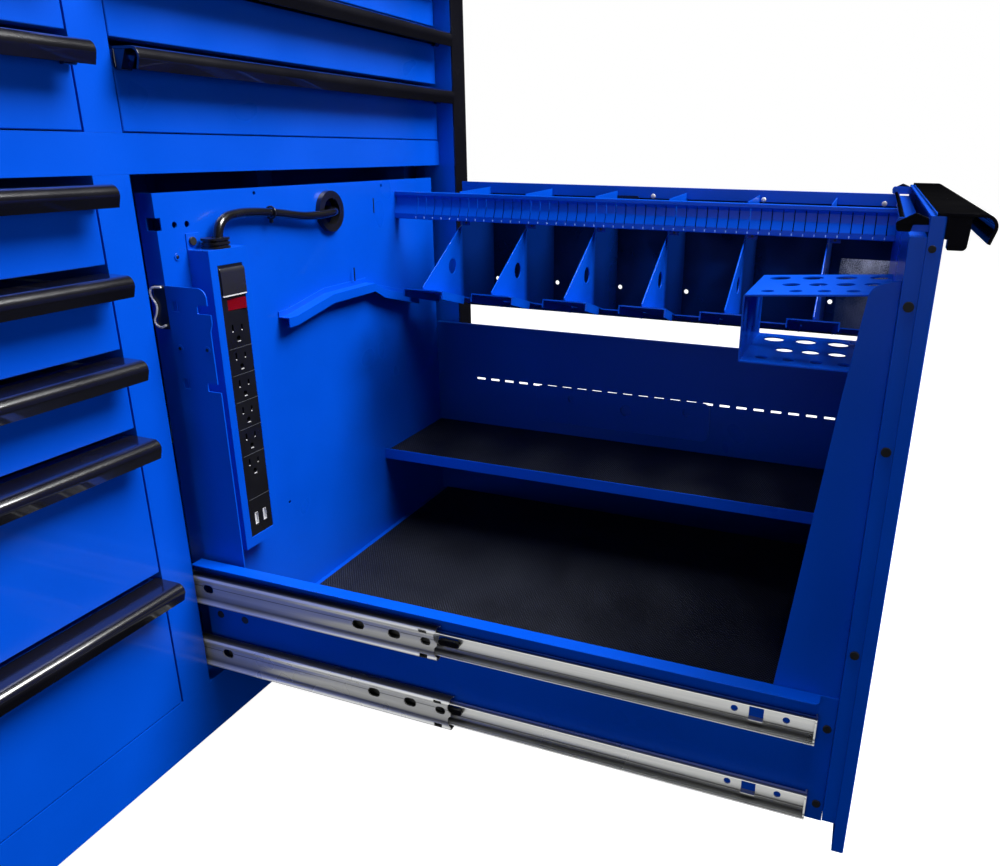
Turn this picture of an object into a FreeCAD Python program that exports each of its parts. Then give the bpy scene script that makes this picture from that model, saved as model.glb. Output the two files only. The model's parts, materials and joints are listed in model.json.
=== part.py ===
import FreeCAD, Part
import math
import os
import sys
import Sketcher

# Rolling tool cabinet, millimetres. X is its width, the drawers open along -Y and Z is up.
# The origin is on the floor, at the centre of the width, in the plane of the drawer fronts.
# The deep pull-out at the lower right is modelled drawn out, and everything else shut.

DRIVING_SIZES = (
    ("bodyWidth", 1219.0, "outside of the two side panels"),
    ("bodyBack", 682.2, "plane of the drawer fronts to the back"),
    ("bodyBottom", 165.0, "underside of the body, on its casters"),
    ("bodyTop", 1021.0, "underside of the worktop"),
    ("worktopThick", 25.0, "folded worktop"),
    ("postProud", 27.0, "how far the corner posts stand in front of the drawers"),
    ("postWidth", 37.4, "corner post, side to side"),
    ("trimThick", 2.5, "black cover strip on a corner post"),
    ("steel", 1.5, "sheet of the body and of the drawers"),
    ("uprightWidth", 37.4, "upright between the two banks"),
    ("frameDepth", 25.0, "front to back, rails and uprights"),
    ("bandBottom", 748.0, "cross band between upper and lower drawers"),
    ("bandHeight", 33.5, "cross band"),
    ("railTop", 227.2, "top of the bottom rail"),
    ("rowPitch", 73.6, "one single drawer row"),
    ("deepRow", 148.0, "the first double row"),
    ("sideGap", 1.6, "drawer front to upright"),
    ("pulloutGap", 3.1, "front of the pull-out to upright"),
    ("footGap", 1.0, "under a drawer front"),
    ("headGap", 8.5, "over a drawer front, where the pull lies"),
    ("pulloutHeadGap", 10.0, "over the front of the pull-out"),
    ("frontDepth", 20.2, "a drawer front, both its skins"),
    ("outerSkin", 9.5, "outer pan of a drawer front"),
    ("frontRound", 1.2, "edges of a drawer front"),
    ("boxBack", 640.0, "back of a drawer box when shut"),
    ("slideSpace", 14.8, "between drawer box and upright, for the slide"),
    ("slideStart", 34.0, "front end of the slides when shut"),
    ("slideLength", 600.0, "standard slide"),
    ("slideSteel", 1.2, "slide members"),
    ("slideHeight", 45.0, "fixed member"),
    ("middleHeight", 36.0, "middle member"),
    ("innerHeight", 25.7, "drawer member of the pull-out"),
    ("travel", 653.0, "how far the pull-out is drawn out"),
    ("middleLag", 13.4, "the middle member's front end, behind the others"),
    ("lowSlide", 262.8, "centre height of the pull-out's lower slides"),
    ("highSlide", 338.3, "centre height of the pull-out's upper slides"),
    ("pullCorner", 31.9, "where the pull's top and lip would meet"),
    ("pullDrop", 18.3, "top of the pull to the tip of its lip"),
    ("pullLean", 5.6, "how far the lip leans back"),
    ("pullThick", 2.2, "wall of the pull"),
    ("pullRound", 8.0, "outer round of the pull"),
    ("pullLeg", 16.0, "leg of the pull against the front"),
    ("pullTongue", 6.0, "pull's tongue over the top of the front"),
    ("blockDrop", 4.3, "deeper end blocks of the pull-out's pull"),
    ("pullCap", 12.0, "end cap of the pull, along it"),
    ("trayFloor", 245.5, "underside of the pull-out's tray"),
    ("trayWall", 367.7, "top of the near tray wall"),
    ("trayLip", 12.9, "the near wall's flange over the slides"),
    ("farWall", 549.4, "inner face of the far tray wall"),
    ("farWallTop", 521.3, "top of the far tray wall"),
    ("matThick", 2.2, "ribbed mat"),
    ("rearPlane", 655.2, "front of the pull-out's rear panel, when shut"),
    ("rearLeft", 41.4, "left fold of the rear panel"),
    ("rearTop", 731.2, "top of the rear panel"),
    ("shelfEdge", 386.2, "near edge of the mid shelf"),
    ("shelfTop", 364.0, "surface of the mid shelf"),
    ("dividerFirst", 91.6, "front divider of the rack, when shut"),
    ("dividerPitch", 94.0, "dividers of the rack"),
    ("rackTip", 350.0, "near ends of the rack's tongues"),
    ("rackTipHeight", 606.0, "upper face of a tongue at its end"),
    ("rackRoot", 450.0, "roots of the tongues, under the slotted rail"),
    ("rackFar", 558.9, "near face of the rack's back plate"),
    ("rackFall", 14.1, "slope of the rack's shelf, in degrees"),
    ("tongueTip", 28.0, "half a tongue's width at its end"),
    ("tongueRoot", 16.5, "half a tongue's width at its root"),
    ("tongueTab", 10.0, "tabs folded down along a tongue"),
    ("tabLength", 76.0, "tabs folded down along a tongue"),
    ("railFoot", 681.5, "underside of the slotted rail"),
    ("railHead", 716.5, "top of the slotted rail"),
    ("slitPitch", 12.58, "slits of the slotted rail"),
    ("holderNear", 188.0, "near side of the bit holder"),
    ("holderFar", 318.5, "far side of the bit holder"),
    ("holderBack", 143.8, "rear wall of the bit holder, when shut"),
    ("holderFoot", 592.9, "lower plate of the bit holder"),
    ("holderHead", 654.3, "upper plate at its rear edge"),
    ("stripLeft", 73.7, "power strip housing"),
    ("stripWidth", 53.0, "power strip housing"),
    ("stripDepth", 25.2, "power strip housing"),
    ("stripFoot", 362.8, "power strip housing"),
    ("stripHeight", 315.4, "power strip housing"),
    ("outletPitch", 28.7, "power outlets"),
    ("cordRadius", 4.75, "power lead"),
    ("wheelRadius", 63.5, "caster wheel"),
    ("wheelWidth", 48.0, "caster wheel"),
    ("axleRadius", 6.0, "caster axle"),
    ("casterInset", 75.0, "caster centre to the ends of the body"),
    ("casterTrail", 35.0, "swivel axis to wheel axle"),
    ("boxLift", 10.0, "floor of a drawer box over its level"),
    ("boxDrop", 16.0, "drawer box walls end below the next level"),
    ("slideRise", 24.0, "slide centre over the floor of the box"),
    ("fixedMember", 11.1, "depth of a fixed slide member"),
    ("drawerMember", 11.0, "depth of an ordinary drawer's member"),
    ("middleMember", 10.4, "depth of a middle member"),
    ("innerMember", 9.6, "depth of the pull-out's drawer member"),
    ("middleStep", 2.5, "frame to the middle member's web"),
    ("carrierHeight", 30.0, "cross channels over the casters"),
    ("carrierDepth", 100.0, "cross channels over the casters"),
    ("studFirst", 60.0, "front edge of the first stud that carries slides"),
    ("studPitch", 270.0, "studs"),
    ("studDepth", 30.0, "studs"),
    ("bandRound", 4.0, "upper edges of the cross band"),
    ("worktopNose", 3.0, "worktop in front of the posts"),
    ("worktopRound", 3.0, "edges of the worktop"),
    ("trimEnd", 6.0, "ends of the cover strips"),
    ("trimScrew", 4.0, "screw heads of the cover strips"),
    ("plateLength", 114.0, "caster plate"),
    ("plateWidth", 102.0, "caster plate"),
    ("plateThick", 4.0, "caster plate"),
    ("forkSteel", 5.0, "caster fork"),
    ("forkPlay", 3.0, "wheel to fork leg"),
    ("crownRadius", 30.0, "swivel crown"),
    ("crownHeight", 6.0, "swivel crown"),
    ("crownPlay", 0.5, "over and under the swivel crown"),
    ("raceHeight", 7.0, "ball race under the plate"),
    ("pinHead", 7.5, "head of the kingpin"),
    ("runningPlay", 0.05, "bores over their pins"),
    ("treadThick", 12.0, "tyre"),
    ("hubRadius", 18.0, "wheel hub"),
    ("pulloutFoot", 228.9, "lower edge of the pull-out's front"),
    ("panStep", 1.2, "inner pan inside the outer one"),
    ("innerPanFoot", 256.0, "inner pan of the front"),
    ("innerPanTop", 725.0, "inner pan of the front"),
    ("spacerHeight", 36.0, "hollow spacers behind the far slides"),
    ("slotCount", 23, "slots of the far tray wall"),
    ("slotFirst", 67.4, "first slot, when shut"),
    ("slotPitch", 23.37, "slots"),
    ("slotLength", 14.0, "slots"),
    ("slotWidth", 3.0, "slots"),
    ("slotLevel", 438.9, "slots"),
    ("matEnd", 9.2, "tray mat to the rear panel"),
    ("lipRise", 6.0, "mid shelf's edge over its surface"),
    ("lipDrop", 9.0, "mid shelf's edge below its surface"),
    ("grommetX", 299.3, "lead's grommet in the rear panel"),
    ("grommetZ", 700.0, "lead's grommet in the rear panel"),
    ("grommetNeck", 20.0, "grommet's neck"),
    ("grommetWall", 5.0, "grommet's neck to its mouth"),
    ("grommetRim", 3.5, "grommet's flange past its neck"),
    ("grommetProud", 6.0, "grommet's flange"),
    ("rearFold", 20.0, "left fold of the rear panel"),
    ("windowFoot", 698.0, "square hole on the fold"),
    ("windowSide", 11.5, "square hole on the fold"),
    ("plateReach", 50.3, "notched plate, forward of the rear panel"),
    ("plateTop", 649.0, "notched plate"),
    ("notchLow", 550.6, "lower notch"),
    ("notchHigh", 625.2, "upper notch"),
    ("notchDepth", 15.1, "notches"),
    ("notchHeight", 8.1, "notches"),
    ("notchStep", 2.8, "plate narrower above a notch"),
    ("lanceBack", 6.2, "lanced windows to the rear panel"),
    ("lanceWidth", 8.0, "lanced windows"),
    ("lanceHeight", 10.0, "lanced windows"),
    ("gussetSteel", 1.5, "gusset of the front"),
    ("gussetPlay", 0.2, "gusset to the near wall"),
    ("gussetTop", 696.0, "gusset of the front"),
    ("gussetShoulder", 39.0, "gusset, near its top"),
    ("gussetWaist", 48.0, "gusset, where it curves out"),
    ("gussetWaistHeight", 614.5, "gusset, where it curves out"),
    ("gussetFoot", 82.9, "gusset on the tray floor"),
    ("gussetTab", 14.8, "gusset's fold on the front"),
    ("farRailTop", 727.0, "rack's far rail"),
    ("farRailWidth", 7.4, "rack's far rail"),
    ("farRailHeight", 14.0, "rack's far rail"),
    ("farRailEnd", 606.0, "rear end of the rack's back plate"),
    ("slitCount", 48, "slits of the slotted rail"),
    ("slitFirst", 30.0, "first slit, when shut"),
    ("slitWidth", 1.2, "slits of the slotted rail"),
    ("dividerCount", 6, "dividers of the rack"),
    ("fingerHoleX", 430.0, "hole in a divider"),
    ("fingerHoleZ", 625.0, "hole in a divider"),
    ("fingerHole", 10.0, "hole in a divider"),
    ("peepHeight", 592.0, "small holes in the rack's back plate"),
    ("rackBackFoot", 550.0, "rack's back plate"),
    ("shelfEnd", 639.0, "rear end of the rack's shelf"),
    ("holderTilt", 8.4, "rise of the bit holder's upper plate to its front"),
    ("armDepth", 15.2, "hook arm"),
    ("armLip", 11.0, "hook arm's front fold, downwards"),
    ("armLeg", 6.0, "hook arm's leg on the rear panel"),
    ("faceWidth", 33.9, "face of the power strip"),
    ("faceRise", 11.2, "face over the foot of the housing"),
    ("faceHeight", 289.0, "face of the power strip"),
    ("earWidth", 17.0, "screw tab of the housing"),
    ("earHeight", 15.0, "screw tab of the housing"),
    ("rockerX", 104.15, "rocker switch"),
    ("rockerZ", 623.7, "rocker switch"),
    ("rockerWidth", 24.4, "rocker switch"),
    ("rockerHeight", 11.1, "rocker switch"),
    ("rockerPivot", 4.6, "rocker's axis behind the front of the housing"),
    ("rockerTilt", 8.0, "rocker's lean to either side, in degrees"),
    ("outletTop", 596.2, "lower ends of the first outlet's slots"),
    ("bladeOffset", 6.4, "outlet slots to their centre line"),
    ("portZ", 392.5, "charging ports"),
    ("glandX", 96.9, "gland"),
    ("glandWidth", 27.4, "gland"),
    ("leadX", 102.0, "lead at the gland"),
    ("glandRib", 3.3, "each of the gland's three ribs"),
    ("glandGroove", 1.1, "depth of the gland's grooves"),
    ("glandPlay", 0.75, "gland's bore round the lead"),
    ("cordPlay", 0.25, "grommet's neck in its hole"),
    ("latchY", 24.5, "latch bar, when shut"),
    ("latchZ", 731.0, "latch bar"),
    ("latchStart", 26.0, "latch bar"),
    ("latchEnd", 564.0, "latch bar"),
    ("latchRadius", 2.2, "latch bar"),
    ("latchHook", 2.5, "hooks of the latch"),
    ("lugDrop", 3.6, "latch bar's axis to the foot of its lugs"),
    ("pivotRadius", 1.4, "rocker's pivot stubs"),
    ("pivotReach", 1.5, "rocker's pivot stubs past the rocker"),
    ("tieX", 188.0, "tie round the lead"),
    ("tieZ", 705.4, "tie round the lead"),
    ("tieTilt", 5.7, "tie round the lead, in degrees"),
    ("tieWire", 1.1, "tie's band"),
    ("tiePlay", 1.5, "tie's band round the lead"),
)


class Size:
    """A number with the sheet expression that gives it."""

    def __init__(self, value, text=""):
        self.value = float(value)
        self.text = text or f"({self.value:.6f})"

    def joined(self, other, sign, value):
        return Size(value, f"({self.text} {sign} {other.text})")

    def __add__(self, other):
        other = as_size(other)
        return self.joined(other, "+", self.value + other.value)

    def __sub__(self, other):
        other = as_size(other)
        return self.joined(other, "-", self.value - other.value)

    def __mul__(self, other):
        other = as_size(other)
        return self.joined(other, "*", self.value * other.value)

    def __truediv__(self, other):
        other = as_size(other)
        return self.joined(other, "/", self.value / other.value)

    def __neg__(self):
        return Size(0) - self

    def __radd__(self, other):
        return as_size(other) + self

    def __rsub__(self, other):
        return as_size(other) - self

    def __rmul__(self, other):
        return as_size(other) * self


def as_size(number):
    return number if isinstance(number, Size) else Size(number)


class Sizes:
    """The driving sizes, by name."""


doc = FreeCAD.newDocument("RollingToolCabinet")
sheet = doc.addObject("Spreadsheet::Sheet", "Sizes")
s = Sizes()
for row, (alias, value, note) in enumerate(DRIVING_SIZES, start=1):
    sheet.set(f"A{row}", alias)
    sheet.set(f"B{row}", f"{value}")
    sheet.set(f"C{row}", note)
    sheet.setAlias(f"B{row}", alias)
    setattr(s, alias, Size(value, f"Sizes.{alias}"))
doc.recompute()

nodes = []

# Planes and edges that several pieces share
body_half = s.bodyWidth / 2
post_inner = body_half - s.postWidth
upright_half = s.uprightWidth / 2
box_near = upright_half + s.slideSpace
box_far = post_inner - s.slideSpace
band_top = s.bandBottom + s.bandHeight
worktop_top = s.bodyTop + s.worktopThick
base_top = s.bodyBottom + s.steel
back_inner = s.bodyBack - s.steel
tray_top = s.trayFloor + s.steel
front_near = upright_half + s.pulloutGap
front_far = post_inner - s.pulloutGap
pullout_top = s.bandBottom - s.pulloutHeadGap


def out(y):
    """Where a place on the pull-out lies when it is drawn out."""
    return y - s.travel


def bind(thing, name, size):
    thing.setExpression(name, as_size(size).text)


def place(thing, where):
    for axis, size in zip("xyz", where):
        bind(thing, f"Placement.Base.{axis}", size)
    return thing


def block(name, low, high):
    """A box between two opposite corners."""
    low, high = zip(*(sorted(map(as_size, pair), key=lambda size: size.value) for pair in zip(low, high)))
    box = doc.addObject("Part::Box", name)
    for side, start, end in zip(("Length", "Width", "Height"), low, high):
        bind(box, side, end - start)
    return place(box, low)


TURNS = {
    "x": FreeCAD.Rotation(FreeCAD.Vector(0, 0, 1), FreeCAD.Vector(1, 0, 0)),
    "y": FreeCAD.Rotation(FreeCAD.Vector(0, 0, 1), FreeCAD.Vector(0, 1, 0)),
    "z": FreeCAD.Rotation(),
}


def rod(name, start, axis, length, radius):
    """A round bar from a point, along an axis."""
    bar = doc.addObject("Part::Cylinder", name)
    bind(bar, "Radius", radius)
    bind(bar, "Height", length)
    bar.Placement = FreeCAD.Placement(FreeCAD.Vector(), TURNS[axis])
    return place(bar, start)


def group(name, parts):
    """Several solids of one sub-part, kept separate."""
    several = doc.addObject("Part::Compound", name)
    several.Links = parts
    return several


def join(name, parts):
    """Several shapes made one solid."""
    one = doc.addObject("Part::MultiFuse", name)
    one.Shapes = parts
    one.Refine = True
    return one


def cut(name, base, tools):
    less = doc.addObject("Part::Cut", name)
    less.Base = base
    less.Tool = tools[0] if len(tools) == 1 else group(f"{name}_tools", tools)
    return less


def node(name, parts):
    """Registers a sub-part under the name of its file."""
    whole = group(name, parts) if isinstance(parts, list) else parts
    whole.Label = name
    nodes.append(whole)
    return whole


def origin_plane(body, role):
    return next(feature for feature in body.Origin.OriginFeatures if feature.Role == role)


def new_sketch(body, role):
    sketch = body.newObject("Sketcher::SketchObject", f"{body.Name}_outline")
    sketch.AttachmentSupport = (origin_plane(body, role), [""])
    sketch.MapMode = "FlatFace"
    return sketch


def hold_point(sketch, geometry, point, where):
    """Fixes one point of a sketch at a place given by the sheet."""
    for direction, size in zip(("DistanceX", "DistanceY"), where):
        number = sketch.addConstraint(Sketcher.Constraint(direction, geometry, point, as_size(size).value))
        bind(sketch, f"Constraints[{number}]", size)


def rounded(before, corner, after, radius):
    """Both tangent points and the centre of a rounded corner."""
    back = (before - corner).normalize()
    ahead = (after - corner).normalize()
    half = back.getAngle(ahead) / 2
    reach = radius / math.tan(half)
    centre = corner + (back + ahead).normalize() * (radius / math.sin(half))
    return corner + back * reach, corner + ahead * reach, centre


def add_loop(sketch, corners):
    """A closed outline through corners (u, v) or (u, v, radius)."""
    count = len(corners)
    points = [FreeCAD.Vector(as_size(c[0]).value, as_size(c[1]).value, 0) for c in corners]
    radii = [as_size(c[2]) if len(c) > 2 else None for c in corners]
    rounds = {}
    for i, radius in enumerate(radii):
        if radius is not None:
            rounds[i] = rounded(points[i - 1], points[i], points[(i + 1) % count], radius.value)
    lines = []
    for i in range(count):
        start = rounds[i][1] if i in rounds else points[i]
        after = (i + 1) % count
        end = rounds[after][0] if after in rounds else points[after]
        lines.append(sketch.addGeometry(Part.LineSegment(start, end), False))
    for i in range(count):
        before, ahead = lines[i - 1], lines[i]
        if i not in rounds:
            sketch.addConstraint(Sketcher.Constraint("Coincident", before, 2, ahead, 1))
            hold_point(sketch, ahead, 1, corners[i][:2])
            continue
        first, last, centre = rounds[i]
        turn = (points[i] - points[i - 1]).cross(points[(i + 1) % count] - points[i]).z
        starts = (first, last) if turn > 0 else (last, first)
        angles = [math.atan2(p.y - centre.y, p.x - centre.x) for p in starts]
        round_circle = Part.Circle(centre, FreeCAD.Vector(0, 0, 1), radii[i].value)
        arc = sketch.addGeometry(Part.ArcOfCircle(round_circle, angles[0], angles[1]), False)
        near_end, far_end = (1, 2) if turn > 0 else (2, 1)
        sketch.addConstraint(Sketcher.Constraint("Tangent", before, 2, arc, near_end))
        sketch.addConstraint(Sketcher.Constraint("Tangent", arc, far_end, ahead, 1))
        number = sketch.addConstraint(Sketcher.Constraint("Radius", arc, radii[i].value))
        bind(sketch, f"Constraints[{number}]", radii[i])
        vertex = sketch.addGeometry(Part.Point(points[i]), True)
        hold_point(sketch, vertex, 1, corners[i][:2])
        sketch.addConstraint(Sketcher.Constraint("PointOnObject", vertex, 1, before))
        sketch.addConstraint(Sketcher.Constraint("PointOnObject", vertex, 1, ahead))


def add_circle(sketch, u, v, radius):
    centre = FreeCAD.Vector(as_size(u).value, as_size(v).value, 0)
    circle = Part.Circle(centre, FreeCAD.Vector(0, 0, 1), as_size(radius).value)
    number = sketch.addGeometry(circle, False)
    hold_point(sketch, number, 3, (u, v))
    size = sketch.addConstraint(Sketcher.Constraint("Radius", number, as_size(radius).value))
    bind(sketch, f"Constraints[{size}]", radius)


ROLES = {"XY": "XY_Plane", "XZ": "XZ_Plane", "YZ": "YZ_Plane"}
NORMALS = {"XY": 2, "XZ": 1, "YZ": 0}


def profile(name, plane, corners, start, end, holes=(), circles=()):
    """A body padded from an outline, between two places along the plane's normal."""
    body = doc.addObject("PartDesign::Body", name)
    sketch = new_sketch(body, ROLES[plane])
    add_loop(sketch, corners)
    for loop in holes:
        add_loop(sketch, loop)
    for circle in circles:
        add_circle(sketch, *circle)
    pad = body.newObject("PartDesign::Pad", f"{name}_pad")
    pad.Profile = sketch
    bind(pad, "Length", as_size(end) - start)
    pad.Reversed = plane == "XZ"
    where = [Size(0)] * 3
    where[NORMALS[plane]] = as_size(start)
    return place(body, where)


def revolved(name, corners, centre):
    """A body turned about an axis along Y; corners are (distance from the axis, y)."""
    body = doc.addObject("PartDesign::Body", name)
    sketch = new_sketch(body, "XY_Plane")
    add_loop(sketch, corners)
    turn = body.newObject("PartDesign::Revolution", f"{name}_turn")
    turn.Profile = sketch
    turn.ReferenceAxis = (sketch, ["V_Axis"])
    turn.Angle = 360
    return place(body, centre)


def edges_at(shape, test):
    return [f"Edge{i}" for i, edge in enumerate(shape.Edges, start=1) if test(edge)]


def front_pan(name, left, right, low, high, start, depth):
    """A shallow folded pan, open at the back, with rounded front edges."""
    body = doc.addObject("PartDesign::Body", name)
    sketch = new_sketch(body, "XZ_Plane")
    add_loop(sketch, [(left, low), (right, low), (right, high), (left, high)])
    pad = body.newObject("PartDesign::Pad", f"{name}_pad")
    pad.Profile = sketch
    bind(pad, "Length", depth)
    pad.Reversed = True
    doc.recompute()
    edges = edges_at(pad.Shape, lambda edge: abs(edge.BoundBox.YMax) < 0.001)
    rounds = body.newObject("PartDesign::Fillet", f"{name}_round")
    rounds.Base = (pad, edges)
    bind(rounds, "Radius", s.frontRound)
    hollow = new_sketch(body, "XZ_Plane")
    add_loop(
        hollow,
        [
            (left + s.steel, low + s.steel),
            (right - s.steel, low + s.steel),
            (right - s.steel, high - s.steel),
            (left + s.steel, high - s.steel),
        ],
    )
    bind(hollow, "AttachmentOffset.Base.z", -s.steel)
    pocket = body.newObject("PartDesign::Pocket", f"{name}_hollow")
    pocket.Profile = hollow
    pocket.Type = "ThroughAll"
    return place(body, (Size(0), start, Size(0)))


def channel(name, web, side, depth, height, centre, shift, trim=Size(0)):
    """A slide member along Y: its web at a plane, open towards a side (+1 or -1 on X)."""
    start = s.slideStart + shift
    end = start + s.slideLength + trim
    outer = block(
        f"{name}_outside",
        (web, start, centre - height / 2),
        (web + depth * side, end, centre + height / 2),
    )
    inner = block(
        f"{name}_inside",
        (web + s.slideSteel * side, start - 1, centre - height / 2 + s.slideSteel),
        (web + (depth + 1) * side, end + 1, centre + height / 2 - s.slideSteel),
    )
    return cut(name, outer, [inner])


def pull(name, left, right, top, shift, deep=Size(0)):
    """A full-width pull: top plate, curled lip, leg against the front and two end caps."""
    head = top + s.pullThick
    lean = s.pullLean.value / s.pullDrop.value
    slant = math.hypot(1, lean)
    lip_step = s.pullThick * slant
    tip = -s.pullCorner + s.pullLean
    tip_inner = tip + s.pullThick / slant
    tip_rise = s.pullThick * (lean / slant)
    inner_corner = -s.pullCorner + lip_step + s.pullThick * lean
    bar = profile(
        f"{name}_bar",
        "YZ",
        [
            (shift + s.pullTongue, head),
            (shift - s.pullCorner, head, s.pullRound),
            (shift + tip, head - s.pullDrop),
            (shift + tip_inner, head - s.pullDrop + tip_rise),
            (shift + inner_corner, top, s.pullRound - s.pullThick),
            (shift - s.pullThick, top),
            (shift - s.pullThick, head - s.pullLeg),
            (shift, head - s.pullLeg),
            (shift, top),
            (shift + s.pullTongue, top),
        ],
        left,
        right,
    )
    cap = [
        (shift - s.pullThick, top),
        (shift - 14.5, top),
        (shift - 7 - deep * 1.5, head - s.pullDrop - deep, Size(3)),
        (shift - s.pullThick, head - s.pullDrop - deep, Size(1)),
    ]
    near_cap = profile(f"{name}_near_cap", "YZ", cap, left + 0.5, left + s.pullCap)
    far_cap = profile(f"{name}_far_cap", "YZ", cap, right - s.pullCap, right - 0.5)
    return node(name, [bar, near_cap, far_cap])


def drawer_box(name, near, far, low, high):
    """Floor and four walls behind a drawer front."""
    start, end = s.frontDepth, s.boxBack
    inside_near, inside_far = near + s.steel, far - s.steel
    return [
        block(f"{name}_floor", (inside_near, start, low), (inside_far, end, low + s.steel)),
        block(f"{name}_near_wall", (near, start, low), (inside_near, end, high)),
        block(f"{name}_far_wall", (inside_far, start, low), (far, end, high)),
        block(
            f"{name}_front_wall",
            (inside_near, start, low + s.steel),
            (inside_far, start + s.steel, high),
        ),
        block(
            f"{name}_back_wall",
            (inside_near, end - s.steel, low + s.steel),
            (inside_far, end, high),
        ),
    ]


def drawer(name, side, low, high):
    """One ordinary drawer in the bank on a side (-1 left, +1 right), between two levels."""
    near, far = box_near * side, box_far * side
    left, right = (near, far) if side > 0 else (far, near)
    face_near = (upright_half + s.sideGap) * side
    face_far = (post_inner - s.sideGap) * side
    face_left, face_right = (face_near, face_far) if side > 0 else (face_far, face_near)
    face_top = high - s.headGap
    front = front_pan(
        f"{name}_front", face_left, face_right, low + s.footGap, face_top, Size(0), s.frontDepth
    )
    floor = low + s.boxLift
    walls = drawer_box(f"{name}_box", left, right, floor, high - s.boxDrop)
    rise = floor + s.slideRise
    members = [
        channel(f"{name}_near_member", near, -side, s.drawerMember, s.middleHeight, rise, Size(0)),
        channel(f"{name}_far_member", far, side, s.drawerMember, s.middleHeight, rise, Size(0)),
    ]
    node(name, [front, *walls, *members])
    pull(name.replace("drawer", "pull"), face_left, face_right, face_top, Size(0))
    return [
        channel(f"{name}_near_rail", upright_half * side, side, s.fixedMember, s.slideHeight, rise, Size(0)),
        channel(f"{name}_far_rail", post_inner * side, -side, s.fixedMember, s.slideHeight, rise, Size(0)),
    ]


def tube_between(name, low, high, open_axis):
    """A hollow rectangular section of sheet steel, open along one axis."""
    low = [as_size(size) for size in low]
    high = [as_size(size) for size in high]
    axis = "xyz".index(open_axis)
    inner_low = [size - 1 if i == axis else size + s.steel for i, size in enumerate(low)]
    inner_high = [size + 1 if i == axis else size - s.steel for i, size in enumerate(high)]
    outside = block(f"{name}_outside", low, high)
    return cut(name, outside, [block(f"{name}_inside", inner_low, inner_high)])


def make_body():
    """The cabinet itself, without its slides."""
    upright_foot = base_top + s.carrierHeight
    side_parts = []
    for word, side in (("left", -1), ("right", 1)):
        ends = sorted((post_inner * side, body_half * side), key=lambda size: size.value)
        side_parts.append(
            tube_between(
                f"{word}_post",
                (ends[0], s.trimThick - s.postProud, s.bodyBottom),
                (ends[1], s.frameDepth, s.bodyTop),
                "z",
            )
        )
        side_parts.append(
            block(
                f"{word}_side",
                ((body_half - s.steel) * side, s.frameDepth, s.bodyBottom),
                (body_half * side, back_inner, s.bodyTop),
            )
        )
        ends = sorted((post_inner * side, (body_half - s.steel) * side), key=lambda size: size.value)
        for i in range(3):
            start = s.studFirst + s.studPitch * i
            side_parts.append(
                tube_between(
                    f"{word}_stud_{i + 1}",
                    (ends[0], start, upright_foot),
                    (ends[1], start + s.studDepth, s.bodyTop),
                    "z",
                )
            )
    node("side_panels", side_parts)
    node(
        "back_panel",
        block(
            "back_panel_sheet",
            (-body_half, back_inner, s.bodyBottom),
            (body_half, s.bodyBack, s.bodyTop),
        ),
    )
    inside = body_half - s.steel
    carriers = []
    for word, centre in (("front", s.casterInset), ("rear", s.bodyBack - s.casterInset)):
        carriers.append(
            tube_between(
                f"{word}_carrier",
                (-inside, centre - s.carrierDepth / 2, base_top),
                (inside, centre + s.carrierDepth / 2, upright_foot),
                "x",
            )
        )
    pan = block("base_sheet", (-inside, s.frameDepth, s.bodyBottom), (inside, back_inner, base_top))
    node("base_pan", [pan, *carriers])
    skins = []
    for word, side in (("left", -1), ("right", 1)):
        skins.append(
            block(
                f"partition_{word}_skin",
                ((upright_half - s.steel) * side, s.frameDepth, upright_foot),
                (upright_half * side, back_inner, s.bodyTop),
            )
        )
    between = upright_half - s.steel
    for i in range(3):
        start = s.studFirst + s.studPitch * i
        skins.append(
            tube_between(
                f"partition_stud_{i + 1}",
                (-between, start, upright_foot),
                (between, start + s.studDepth, s.bodyTop),
                "z",
            )
        )
    node("centre_partition", skins)
    make_face_frame()
    make_worktop()
    make_trims()


def make_face_frame():
    depth = s.frameDepth
    top_rail = band_top + s.rowPitch * 3 + s.footGap
    band_outside = profile(
        "band_outside",
        "XZ",
        [
            (-post_inner, s.bandBottom),
            (post_inner, s.bandBottom),
            (post_inner, band_top, s.bandRound),
            (-post_inner, band_top, s.bandRound),
        ],
        0,
        depth,
    )
    band_inside = block(
        "band_inside",
        (-post_inner - 1, s.steel, s.bandBottom + s.steel),
        (post_inner + 1, depth - s.steel, band_top - s.steel),
    )
    parts = [
        cut("band", band_outside, [band_inside]),
        tube_between(
            "lower_upright",
            (-upright_half, 0, s.railTop),
            (upright_half, depth, s.bandBottom),
            "z",
        ),
        tube_between("upper_upright", (-upright_half, 0, band_top), (upright_half, depth, top_rail), "z"),
        tube_between("bottom_rail", (-post_inner, 0, s.bodyBottom), (post_inner, depth, s.railTop), "x"),
        tube_between("top_rail", (-post_inner, 0, top_rail), (post_inner, depth, s.bodyTop), "x"),
    ]
    node("face_frame", parts)


def make_worktop():
    front = -s.postProud - s.worktopNose
    slab = profile(
        "worktop_slab",
        "YZ",
        [
            (front, s.bodyTop),
            (front, worktop_top, s.worktopRound),
            (s.bodyBack, worktop_top, s.worktopRound),
            (s.bodyBack, s.bodyTop),
        ],
        -body_half,
        body_half,
    )
    hollow = block(
        "worktop_hollow",
        (-body_half + s.steel, front + s.steel, s.bodyTop - 1),
        (body_half - s.steel, s.bodyBack - s.steel, worktop_top - s.steel),
    )
    node("worktop", cut("worktop_sheet", slab, [hollow]))


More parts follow.
